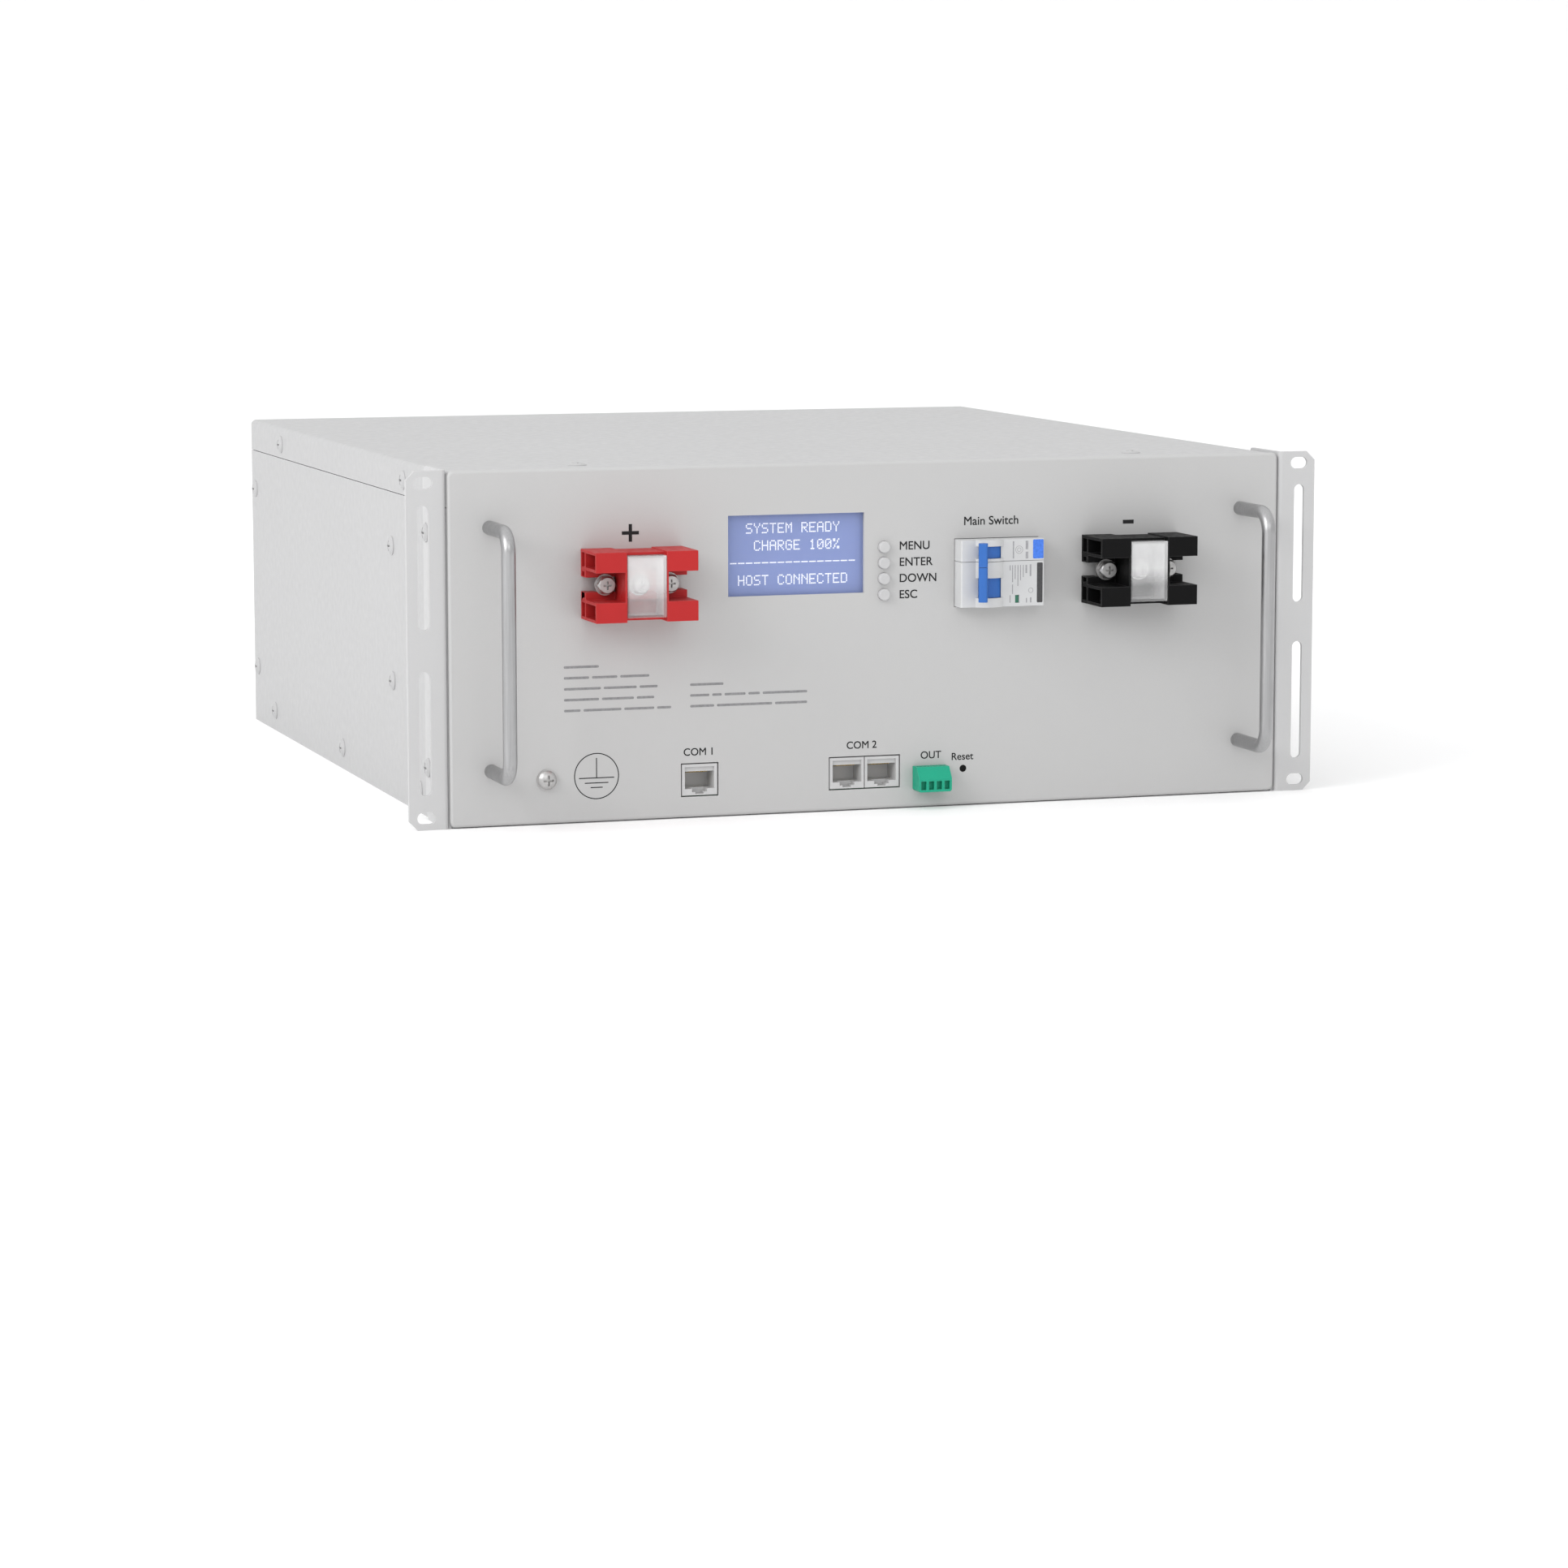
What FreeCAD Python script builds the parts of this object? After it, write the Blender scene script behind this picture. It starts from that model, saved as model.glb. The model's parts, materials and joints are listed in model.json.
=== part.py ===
"""Rack-mounted battery, four rack units high: cased cell pack with a wired front panel.

Model frame while building: X across, Y from the panel's front face towards the rear, Z up from the
base. Every node is moved along Y when it is written, so that the origin is under the middle of
the whole unit. Millimetres throughout.
"""
import FreeCAD, Part
import math
import os

V = FreeCAD.Vector

# ---------------------------------------------------------------- overall sizes
BODY_WIDTH = 442.0          # case between the ears
BODY_HEIGHT = 176.0
EAR_ABOVE = 1.0             # ear's top above the cover
EAR_REACH = 20.3            # ear edge beyond the case side
SHEET = 1.5                 # case sheet metal
PANEL_THICK = 2.0
FIT = 0.1                   # gap between nested sheets
PANEL_SIDE_GAP = 0.5        # shadow gap between panel and ear
PANEL_LIFT = 0.5            # panel's lower edge above the base
PAST = 1.0                  # how far a cutting tool reaches past a face

# ---------------------------------------------------------------- depth, front to rear
BAY_DEPTH = 108.0           # panel face to the bulkhead, the electronics bay
CELL_FRONT_GAP = 8.5
CELL_WIDTH = 160.0          # a cell's long side, along Y
CELL_THICK = 50.0           # a cell's short side, along X
CELL_HEIGHT = 118.5
CELL_GAP = 0.8              # spacer between two cells in a row
ROW_GAP = 16.0              # between the two rows of cells
REAR_GAP = 17.5
CELLS_PER_ROW = 8
CELL_BASE_SHEET = 1.0       # insulating sheet under the cells

# ---------------------------------------------------------------- case details
COVER_FLANGE = 17.3         # the cover's side flange, down from the top
COVER_BEND = 3.0            # outer bend radius of the cover's long edges
COVER_SEAM = 0.4            # gap between cover flange and side panel
LIP_HEIGHT = 22.0           # side panel's inner lip behind the cover flange
TRAY_FLANGE = 18.0          # tray's upturned flange inside the side panels
REAR_FLANGE = 20.0
FLANGE_CLEAR = 2.0          # between the flanges of neighbouring sheets
LIP_INSET = 4.0             # a lip's ends, in from the nested sheets' outer faces
RETURN_INSET = 6.0
RETURN_RISE = 4.0           # the panel's side returns above the foot of the side lips
WELD_DEPTH = 0.3            # how deep a return is joined into the panel
PANEL_EDGE_RADIUS = 1.6
PANEL_CORNER_RADIUS = 3.0
RETURN_DEPTH = 44.0         # the panel's returns into the case
BULKHEAD_FLANGE = 19.0
BULKHEAD_SCREW_MARGIN = 7.3  # flange above its upper screw

# ---------------------------------------------------------------- ears
EAR_THICK = 2.0
EAR_FLANGE = 40.0
EAR_GAP = 0.1               # ear flange off the case side
EAR_CHAMFER = 4.5
EAR_BEND = 2.4
RACK_SLOT_LENGTH = 9.3
RACK_SLOT_WIDTH = 5.9
RACK_SLOT_INSET = 8.75      # slot centre from the ear's outer edge
RACK_SLOT_SPACING = 165.1   # between the lower and upper rack slots
LONG_SLOT_WIDTH = 5.6
LONG_SLOT_INSET = 8.5
LONG_SLOT_LENGTH = 61.2
LONG_SLOT_SPACING = 81.7    # between the middles of the two long slots

# ---------------------------------------------------------------- fasteners
CASE_HEAD_RADIUS = 4.8
SIDE_HEAD_HEIGHT = 1.9
TOP_HEAD_HEIGHT = 1.2
CASE_SHANK_RADIUS = 1.9
CASE_SHANK_LENGTH = 8.0
HOLE_CLEARANCE = 0.15
THREAD_CLEARANCE = 0.05
COVER_SCREW_Y = (90.0, 390.0)
COVER_SCREW_DROP = 9.8      # below the cover's top face
TRAY_SCREW_Y = (60.5, 238.0, 415.5)
TRAY_SCREW_Z = 11.6
REAR_SCREW_INSET = 10.5     # from the rear face
REAR_SCREW_Z = (32.4, 136.3)
BULKHEAD_SCREW_Z = (61.0, 130.7)
BULKHEAD_SCREW_INSET = 9.7  # behind the bulkhead's front face
EAR_SCREW_Y = 34.0
EAR_SCREW_Z = (26.5, 144.0)
TOP_SCREW_X = (-146.5, 151.0)
TOP_SCREW_Y = 30.0

# ---------------------------------------------------------------- handles
HANDLE_X = 199.5
HANDLE_LOW_Z = 28.0
HANDLE_PITCH = 120.4
HANDLE_RADIUS = 3.5
HANDLE_REACH = 37.1         # panel face to the bar's middle
HANDLE_BEND = 10.0
HANDLE_SCREW_RADIUS = 1.95
HANDLE_SCREW_DEPTH = 10.0   # how far the screw goes into the foot
REAR_HEAD_RADIUS = 3.8
REAR_HEAD_HEIGHT = 2.4

# ---------------------------------------------------------------- terminal blocks
TERMINAL_X = (-127.0, 138.3)
TERMINAL_Z = 119.55
BLOCK_WIDTH = 52.3
BLOCK_HEIGHT = 34.7
BLOCK_BASE = 8.5            # base layer's thickness
BLOCK_REACH = 27.7
BLOCK_WALL = 1.5
ARM_HEIGHT = 10.0
BAY_WIDTH = 20.4            # central bay between the arms
BAY_WALL = 0.8              # partition either side of the central bay
WEB_RECESS = 0.6            # bay walls set in from the arms' outer faces
WEB_THICK = 1.4
WEB_REACH = 22.0
PEDESTAL_REACH = 12.5       # raised floor of the central bay
END_SLOT = 7.3              # open slot at each end of the base layer
BOLT_PITCH = 16.4
BOLT_RADIUS = 2.45
BOLT_HEAD_FLATS = 8.4
BOLT_HEAD_HEIGHT = 3.4
BOLT_PAST = 1.0             # bolt's tip behind the busbar
WASHER_RADIUS = 5.3
WASHER_THICK = 1.0
SPRING_WASHER_RADIUS = 4.5
SPRING_WASHER_THICK = 1.2
BUSBAR_LENGTH = 39.0
BUSBAR_HEIGHT = 12.0
BUSBAR_THICK = 3.0
BUSBAR_FRONT = 6.5          # busbar's front face, off the panel
TANG_WIDTH = 14.0
TANG_BACK = 24.0            # tang's end, behind the panel face
COVER_WALL = 1.2
COVER_FIT = 0.2             # clear cover in the bay, each side
MOUNT_SCREW_X = 18.5        # block's fixing screws, off its middle
MOUNT_SCREW_SKIN = 1.2      # plastic left over a fixing screw's tip
END_HOLLOW_LENGTH = 4.0     # pocket in each end of the base layer
END_HOLLOW_Y = (-7.0, -1.2)
LEDGE_POCKET_LENGTH = 3.0   # smaller pocket beside the open slot
LEDGE_POCKET_HEIGHT = 2.4
LEDGE_POCKET_DROP = 2.1     # its middle, in from the arm's inner face
LEDGE_POCKET_Y = (-6.6, -1.6)
WALL_INSET = 1.0            # bay partitions, in from the arms' outer faces
BUSBAR_FIT = 0.2
TANG_CLEAR = 2.0            # panel cutout around the tang, each side
BUSBAR_CLEAR = 1.0          # panel cutout above and below the busbar
BOLT_CORNER_TRIM = 1.1      # how far the head's top is turned in from its corners
BOLT_RECESS_DEPTH = 1.6
WASHER_SPLIT = 0.5
CAP_EDGE_RADIUS = 0.5

# ---------------------------------------------------------------- display and buttons
DISPLAY_X = -41.15
DISPLAY_Z = 130.9
DISPLAY_WIDTH = 71.7
DISPLAY_HEIGHT = 40.6
WINDOW_THICK = 1.5
WINDOW_BORDER = 4.0
MODULE_GAP = 0.3
MODULE_THICK = 5.0
MODULE_BORDER = 2.5         # display frame beyond the opening, left and right
FACE_DEPTH = 0.4            # display face, behind its frame
BOARD_THICK = 1.6
BUTTONS = ("menu", "enter", "down", "escape")
BUTTON_X = 5.0
BUTTON_TOP_Z = 133.5
BUTTON_PITCH = 8.0
BUTTON_RADIUS = 2.95
BUTTON_REACH = 2.5
BUTTON_FLANGE = 0.8         # retaining flange beyond the cap's radius
BUTTON_TRAVEL = 0.8
BUTTON_CLEARANCE = 0.12
STEM_RADIUS = 1.2
BUTTON_EDGE_RADIUS = 0.6
BUTTON_FLANGE_THICK = 1.0
KEY_SWITCH_SIZE = 6.0
KEY_SWITCH_HEIGHT = 1.2
BOARD_MARGIN = 4.0

# ---------------------------------------------------------------- main switch
SWITCH_X = 65.7             # middle of the switch's nose
NOSE_LENGTH = 45.0
NOSE_REACH = 9.5
SWITCH_LENGTH = 82.0
SHOULDER_Y = 8.0
SWITCH_BACK = 52.0
SWITCH_LOW_Z = 102.3
SWITCH_HEIGHT = 23.0
MODULE_SEAM = 0.2           # between the main and the auxiliary module
AUX_HEIGHT = 10.9
CUTOUT_GAP = 0.3
PIVOT_X = 58.5
PIVOT_REACH = 2.0
DRUM_RADIUS = 9.2
DRUM_CLEARANCE = 0.4
CHEEK_RADIUS = 10.6
MAIN_DRUM_Z = (107.1, 117.0)
AUX_DRUM_Z = (127.1, 133.1)
LEVER_REST = 22.5           # lever's lean to the left at rest, degrees
LEVER_RADIUS = 17.2
LEVER_WIDTH = 4.6
LEVER_SHANK = 3.4
MAIN_BAR_Z = (105.7, 123.2)
AUX_BAR_Z = (123.4, 135.4)
PIN_RADIUS = 1.5
PIN_FIT = 0.05
PIN_END_GAP = 0.2
FLAG_X = 72.4               # indicator window's left edge
FLAG_WIDTH = 2.2
FLAG_Z = (104.0, 108.0)
FLAG_THICK = 1.0
FLAG_WALL = 1.3             # housing wall in front of the flag
FLAG_TRAVEL = 2.6
FLAG_LAP = 0.2              # flag beyond the window's edge at rest
FLAG_RUN_GAP = 0.3          # between the flag and its run, above and below
FLAG_END_GAP = 0.4          # run beyond the flag's travel at each end
NOSE_EDGE_RADIUS = 0.8
GRIP_EDGE_RADIUS = 1.2
GRIP_Y = (-2.0, 2.4)        # finger bar's outer and inner face, off the lever's radius
SHANK_GAP = 0.3             # between the shank and the drum's two ends
SHANK_ROOT = 1.5            # how deep the shank is joined into the drum
PIN_HOLE_INSET = 1.0        # pin holes stop this far inside a module's faces
WIRE_PORT_DEPTH = 12.0
WIRE_PORT_INSET = 20.0      # wire ports in front of the modules' back
WIRE_END_DEPTH = 8.0        # how far a power cable goes into its port
WIRE_PORT_SHARE = 0.36      # wire port's radius over its module's height
RAIL_WIDTH = 35.0
RAIL_DEPTH = 7.5
RAIL_SHEET = 1.0
RAIL_LIP = 5.0
BRACKET_FOOT = 20.0
RAIL_OVERHANG = 10.0        # rail above and below the modules
BRACKET_HALF = 20.0

# ---------------------------------------------------------------- connectors
JACK_WIDTH = 18.5
JACK_HEIGHT = 15.8
JACK_DEPTH = 16.0
JACK_Z = 19.35
JACK_RECESS = 0.3
SINGLE_JACK_X = -92.1
PAIR_JACK_X = -4.9
PORT_WIDTH = 15.3
PORT_HEIGHT = 11.0
PORT_TOP_WALL = 1.5
PORT_DEPTH = 13.0
COMB_HEIGHT = 2.3           # contact comb under the port's roof
COMB_RECESS = 1.2
LATCH_STEPS = ((7.8, 1.6), (4.5, 2.6))  # (width, drop) of the latch notch's two steps
LATCH_DEPTH = 6.0
PAIR_GROOVE = 0.5
CONTACTS = 8
CONTACT_PITCH = 1.27
CONTACT_WIDTH = 0.5
CONTACT_THICK = 0.3
CONTACT_LENGTH = 8.5
CONTACT_START = 2.5         # contacts' front ends behind the socket's face
CONTACT_DROP = 0.15         # contacts below the comb
CONTACT_SLOPE = 10.0        # degrees down towards the back
JACK_GAP = 0.6              # shadow gap between a socket and the panel
PLUG_X = 29.6
PLUG_WIDTH = 17.6
PLUG_Z = (9.2, 21.6)
PLUG_REACH = 10.4
PLUG_TOP_REACH = 6.3
PLUG_SLOPE_Z = 16.0
PLUG_GAP = 0.2              # plug's back face off the panel
PLUG_WAYS = 4
WAY_PITCH = 4.2
WAY_WIDTH = 2.8
WAY_Z = (10.4, 14.7)
WAY_DEPTH = 2.6
CLAMP_HOLE_RADIUS = 1.45
CLAMP_HOLE_DEPTH = 1.5
CLAMP_SCREW_FIT = 0.1
CLAMP_SCREW_SINK = 0.3
CLAMP_SLOT_WIDTH = 0.4
CLAMP_SLOT_DEPTH = 0.5
PLUG_CHAMFER = 0.8
PLUG_EDGE_RADIUS = 0.5
HEADER_WALL = 1.2
TONGUE_ROOT = 0.5           # how deep the tongue is joined into the plug
TONGUE_WIDTH = 15.0
TONGUE_Z = (12.9, 19.0)
TONGUE_DEPTH = 8.0
TONGUE_FIT = 0.2
HEADER_FLOOR_GAP = 1.0      # between the tongue's end and the header's floor
HEADER_FLOOR = 2.0
RESET_X = 48.1
RESET_Z = 19.2
RESET_RADIUS = 1.75
RESET_TRAVEL = 1.0
RESET_RECESS = 0.3          # plunger's face behind the panel's
RESET_FLANGE = 0.7
RESET_FLANGE_THICK = 0.8
RESET_SWITCH_GAP = 2.5      # panel to the switch body, less the travel
RESET_SWITCH_HALF = 4.0
RESET_SWITCH_DEPTH = 6.0
INTERFACE_GAP = 1.0         # interface board behind the panel
INTERFACE_LEFT = 6.0        # board beyond the single socket
INTERFACE_RIGHT = 12.0      # board beyond the reset plunger
STANDOFF_RADIUS = 3.0
STANDOFF_INSET = 6.0        # a board's standoffs, in from its edges
BOARD_TOP = 11.2            # interface board's upper face
GROUND_X = -171.2
GROUND_Z = 22.5
GROUND_HEAD_RADIUS = 4.8
GROUND_HEAD_HEIGHT = 2.7
GROUND_WASHER_RADIUS = 5.3
GROUND_WASHER_THICK = 0.8
GROUND_SHANK_RADIUS = 2.45
GROUND_SCREW_PAST = 6.0     # screw's tip behind the panel

# ---------------------------------------------------------------- inside
CABLE_RADIUS = 4.5
CABLE_BEND = 20.0
CABLE_GAP = 8.0             # between the cell links and the cable runs over them
CABLE_TO_BULKHEAD = 2.0
CABLE_CLIMB_Y = (62.0, 92.0)  # where the positive cable climbs over the bulkhead
CABLE_TURN = 12.0           # bend's corner in front of the first cell's post
CABLE_PAST_POST = 28.0
DROP_ACROSS = 27.0          # negative cable's drop, right of the positive terminal
DROP_BEFORE = 30.0          # and in front of the bulkhead
DROP_BELOW = 27.0           # its lower end below the bulkhead's top
TAB_LOW = 5.0               # board tab below and above the cable's end
TAB_HIGH = 7.0
FEED_RUN = 45.0             # switch feed's run to the left before it turns back
OUTPUT_TAB_PAST = 6.0       # output tab behind the cable's middle
LINK_THICK = 2.0
LINK_WIDTH = 20.0
POST_RADIUS = 7.0
POST_HEIGHT = 3.0
POST_OFFSET = 46.0          # cell posts either side of the cell's middle
POST_ROOT = 1.0             # how deep a post is joined into its can
VENT_RADIUS = 8.0
VENT_HEIGHT = 0.6
CAN_EDGE_RADIUS = 2.0
LINK_LAP = 9.0              # link beyond a post's middle, along the row
END_PLATE = 6.0
END_PLATE_LAP = 7.5         # end plate beyond the cells, front and rear
END_PLATE_DROP = 8.0        # end plate's top below the cans' tops
ROD_RADIUS = 2.5
ROD_OFFSET = 3.8            # tie rods off the cells, front and rear
ROD_LAP = 2.5
ROD_Z = (30.0, 95.0)
MANAGEMENT_BOARD_HALF = 190.0
MANAGEMENT_BOARD_GAP = 6.0  # board's back face to the bulkhead
MANAGEMENT_BOARD_LOW_Z = 22.0
MANAGEMENT_BOARD_DROP = 12.0  # board's top below the bulkhead's
HEATSINK_X = (-170.0, 10.0)
HEATSINK_Z = (36.0, 84.0)
HEATSINK_BASE = 4.0
FIN_HEIGHT = 12.0
FIN_THICK = 2.0
FIN_COUNT = 8
LUG_HALF = 6.0
LUG_LENGTH = 14.0
OUTPUT_TAB_HALF = 7.0
POST_TAB_HALF = 8.0
RISER_WIDTH = 6.0
RISER_THICK = 3.0
SHEET_MARGIN = 4.0          # insulating sheet clear of the side panels
SHEET_END_GAP = 1.0

# ---------------------------------------------------------------- worked out from the above
UNIT_HEIGHT = BODY_HEIGHT + EAR_ABOVE
HALF = BODY_WIDTH / 2
INNER = HALF - SHEET        # inner face of the side panels
NEST = INNER - FIT          # outer face of what nests inside them
ROW_1 = BAY_DEPTH + SHEET + CELL_FRONT_GAP
ROW_2 = ROW_1 + CELL_WIDTH + ROW_GAP
DEPTH = ROW_2 + CELL_WIDTH + REAR_GAP + SHEET
COVER_UNDER = BODY_HEIGHT - SHEET
SIDE_TOP = BODY_HEIGHT - COVER_FLANGE - COVER_SEAM
LIP_TOP = COVER_UNDER - 2 * SHEET
LIP_LOW = LIP_TOP - LIP_HEIGHT
EAR_EDGE = HALF + EAR_REACH
HANDLE_FRONT = -(HANDLE_REACH + HANDLE_RADIUS)
ORIGIN_SHIFT = -(DEPTH + HANDLE_FRONT) / 2
CELL_BOTTOM = SHEET + CELL_BASE_SHEET
CELL_TOP = CELL_BOTTOM + CELL_HEIGHT
LINK_Z = CELL_TOP + POST_HEIGHT
LINK_TOP = LINK_Z + LINK_THICK
CABLE_Z = LINK_TOP + CABLE_GAP + CABLE_RADIUS
BULKHEAD_HEIGHT = CABLE_Z - CABLE_RADIUS - CABLE_TO_BULKHEAD
BOARD_FACE = BAY_DEPTH - MANAGEMENT_BOARD_GAP - BOARD_THICK
PIVOT_Y = -PIVOT_REACH


# ---------------------------------------------------------------- small helpers
def box(x0, x1, y0, y1, z0, z1):
    return Part.makeBox(x1 - x0, y1 - y0, z1 - z0, V(x0, y0, z0))


def block(x, z, width, height, y0, y1):
    """Box centred on x and z."""
    return box(x - width / 2, x + width / 2, y0, y1, z - height / 2, z + height / 2)


def rod_x(y, z, radius, x0, x1):
    return Part.makeCylinder(radius, x1 - x0, V(x0, y, z), V(1, 0, 0))


def rod_y(x, z, radius, y0, y1):
    return Part.makeCylinder(radius, y1 - y0, V(x, y0, z), V(0, 1, 0))


def rod_z(x, y, radius, z0, z1):
    return Part.makeCylinder(radius, z1 - z0, V(x, y, z0), V(0, 0, 1))


def fuse(shapes):
    return shapes[0].fuse(shapes[1:]).removeSplitter()


def cut(shape, tools):
    return shape.cut(tools).removeSplitter()


def group(shapes):
    return Part.makeCompound(shapes)


def mirrored(shape):
    return shape.mirror(V(0, 0, 0), V(1, 0, 0))


def upright_pair(outer, thick, y0, y1, z0, z1):
    """Standing plate whose outer face is at x = outer, and its mirror image."""
    right = box(outer - thick, outer, y0, y1, z0, z1)
    return [right, mirrored(right)]


def slot_y(x, z, length, width, y0, y1, upright=False):
    """Round-ended slot through Y, lying along X or standing along Z."""
    half = (length - width) / 2
    if upright:
        ends = [rod_y(x, z + side * half, width / 2, y0, y1) for side in (-1, 1)]
        return fuse([block(x, z, width, 2 * half, y0, y1)] + ends)
    ends = [rod_y(x + side * half, z, width / 2, y0, y1) for side in (-1, 1)]
    return fuse([block(x, z, 2 * half, width, y0, y1)] + ends)


def edges_where(shape, test):
    """Straight edges whose two ends both pass the test."""
    found = []
    for edge in shape.Edges:
        ends = [vertex.Point for vertex in edge.Vertexes]
        if len(ends) == 2 and all(test(point) for point in ends):
            found.append(edge)
    return found


def near(value, target):
    return abs(value - target) < 0.01


def tube(points, radius, bend):
    """Round tube along straight runs joined by tangent arcs."""
    corners = [V(*point) for point in points]
    edges = []
    start = corners[0]
    for before, corner, after in zip(corners, corners[1:], corners[2:]):
        inward = (before - corner).normalize()
        outward = (after - corner).normalize()
        half_turn = (math.pi - inward.getAngle(outward)) / 2
        reach = bend * math.tan(half_turn)
        arc_start = corner + inward * reach
        arc_end = corner + outward * reach
        middle = (inward + outward).normalize() * (bend / math.cos(half_turn) - bend)
        edges.append(Part.LineSegment(start, arc_start).toShape())
        edges.append(Part.Arc(arc_start, corner + middle, arc_end).toShape())
        start = arc_end
    edges.append(Part.LineSegment(start, corners[-1]).toShape())
    path = Part.Wire(edges)
    ring = Part.Wire([Part.Circle(corners[0], corners[1] - corners[0], radius).toShape()])
    return path.makePipeShell([ring], True, False)


def placed(shape, point, direction):
    """Turn a shape built up +Z to face a direction and move it to a point."""
    turned = shape.copy()
    turned.Placement = FreeCAD.Placement(V(*point), FreeCAD.Rotation(V(0, 0, 1), V(*direction)))
    return turned


def cross_recess(radius, top, depth):
    """Two crossed slots for a driver, cut down from a head's top."""
    half = 0.55 * radius
    width = 0.11 * radius
    first = box(-half, half, -width, width, top - depth, top + PAST)
    second = box(-width, width, -half, half, top - depth, top + PAST)
    return first.fuse(second)


def dome_screw(head_radius, head_height, shank_radius, shank_length):
    """Domed cross-head screw: head above z=0, shank below."""
    rim = V(head_radius, 0, 0.25 * head_height)
    crown = V(0, 0, head_height)
    shoulder = V(0.72 * head_radius, 0, 0.74 * head_height)
    outline = [
        Part.LineSegment(V(0, 0, -shank_length), V(shank_radius, 0, -shank_length)).toShape(),
        Part.LineSegment(V(shank_radius, 0, -shank_length), V(shank_radius, 0, 0)).toShape(),
        Part.LineSegment(V(shank_radius, 0, 0), V(head_radius, 0, 0)).toShape(),
        Part.LineSegment(V(head_radius, 0, 0), rim).toShape(),
        Part.Arc(rim, shoulder, crown).toShape(),
        Part.LineSegment(crown, V(0, 0, -shank_length)).toShape(),
    ]
    solid = Part.Face(Part.Wire(outline)).revolve(V(0, 0, 0), V(0, 0, 1), 360)
    return solid.cut(cross_recess(head_radius, head_height, 0.6 * head_height))


# ---------------------------------------------------------------- where the case screws go
def side_screw_places():
    """(y, z) of every painted screw on one side of the case, without the ear's own."""
    places = [(y, BODY_HEIGHT - COVER_SCREW_DROP) for y in COVER_SCREW_Y]
    places += [(y, TRAY_SCREW_Z) for y in TRAY_SCREW_Y]
    places += [(DEPTH - REAR_SCREW_INSET, z) for z in REAR_SCREW_Z]
    places += [(BAY_DEPTH + BULKHEAD_SCREW_INSET, z) for z in BULKHEAD_SCREW_Z]
    return places


def ear_screw_places():
    return [(EAR_SCREW_Y, z) for z in EAR_SCREW_Z]


def side_holes():
    """Screw holes through everything at both sides of the case."""
    radius = CASE_SHANK_RADIUS + HOLE_CLEARANCE
    places = side_screw_places() + ear_screw_places()
    return [rod_x(y, z, radius, -EAR_EDGE, EAR_EDGE) for y, z in places]


def top_holes():
    radius = CASE_SHANK_RADIUS + HOLE_CLEARANCE
    low = COVER_UNDER - SHEET - PAST
    return [rod_z(x, TOP_SCREW_Y, radius, low, BODY_HEIGHT + PAST) for x in TOP_SCREW_X]


# ---------------------------------------------------------------- case
def bottom_tray():
    rear = DEPTH - SHEET - FIT
    front = PANEL_THICK + FIT
    plate = box(-NEST, NEST, front, rear, 0, SHEET)
    tray = fuse([plate] + upright_pair(NEST, SHEET, front, rear, 0, TRAY_FLANGE))
    bends = edges_where(tray, lambda p: near(abs(p.x), NEST) and near(p.z, 0))
    tray = tray.makeFillet(SHEET * 0.9, bends)
    return cut(tray, side_holes())


def side_panel():
    """Right side panel, with the inner lip that the cover's flange screws to."""
    front = PANEL_THICK + FIT
    lip_front = RETURN_DEPTH + FLANGE_CLEAR
    lip_rear = DEPTH - REAR_FLANGE - LIP_INSET
    skin = box(INNER, HALF, front, DEPTH, 0, SIDE_TOP)
    lip = box(INNER - SHEET, INNER, lip_front, lip_rear, LIP_LOW, LIP_TOP)
    front_lip = box(INNER - SHEET, INNER, front, lip_front, SIDE_TOP - SHEET, LIP_TOP)
    return cut(fuse([skin, lip, front_lip]), side_holes())


def top_cover():
    front = PANEL_THICK + FIT
    outer = box(-HALF, HALF, front, DEPTH, BODY_HEIGHT - COVER_FLANGE, BODY_HEIGHT)
    bends = edges_where(outer, lambda p: near(abs(p.x), HALF) and near(p.z, BODY_HEIGHT))
    long_bends = [edge for edge in bends if edge.Length > BODY_HEIGHT]
    outer = outer.makeFillet(COVER_BEND, long_bends)
    inner = box(-INNER, INNER, front - PAST, DEPTH + PAST, 0, COVER_UNDER)
    bends = edges_where(inner, lambda p: near(abs(p.x), INNER) and near(p.z, COVER_UNDER))
    long_bends = [edge for edge in bends if edge.Length > BODY_HEIGHT]
    inner = inner.makeFillet(COVER_BEND - SHEET, long_bends)
    return cut(outer.cut(inner), side_holes() + top_holes())


def rear_panel():
    top = COVER_UNDER - FIT
    plate = box(-NEST, NEST, DEPTH - SHEET, DEPTH, 0, top)
    upper_corners = edges_where(plate, lambda p: near(abs(p.x), NEST) and near(p.z, top))
    plate = plate.makeChamfer(COVER_BEND - SHEET + FIT, [e for e in upper_corners if near(e.Length, SHEET)])
    front = DEPTH - REAR_FLANGE
    flanges = upright_pair(NEST, SHEET, front, DEPTH, TRAY_FLANGE + FLANGE_CLEAR, SIDE_TOP - FLANGE_CLEAR)
    lip = box(-NEST + LIP_INSET, NEST - LIP_INSET, front, DEPTH, top - SHEET, top)
    return cut(fuse([plate, lip] + flanges), side_holes())


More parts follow.
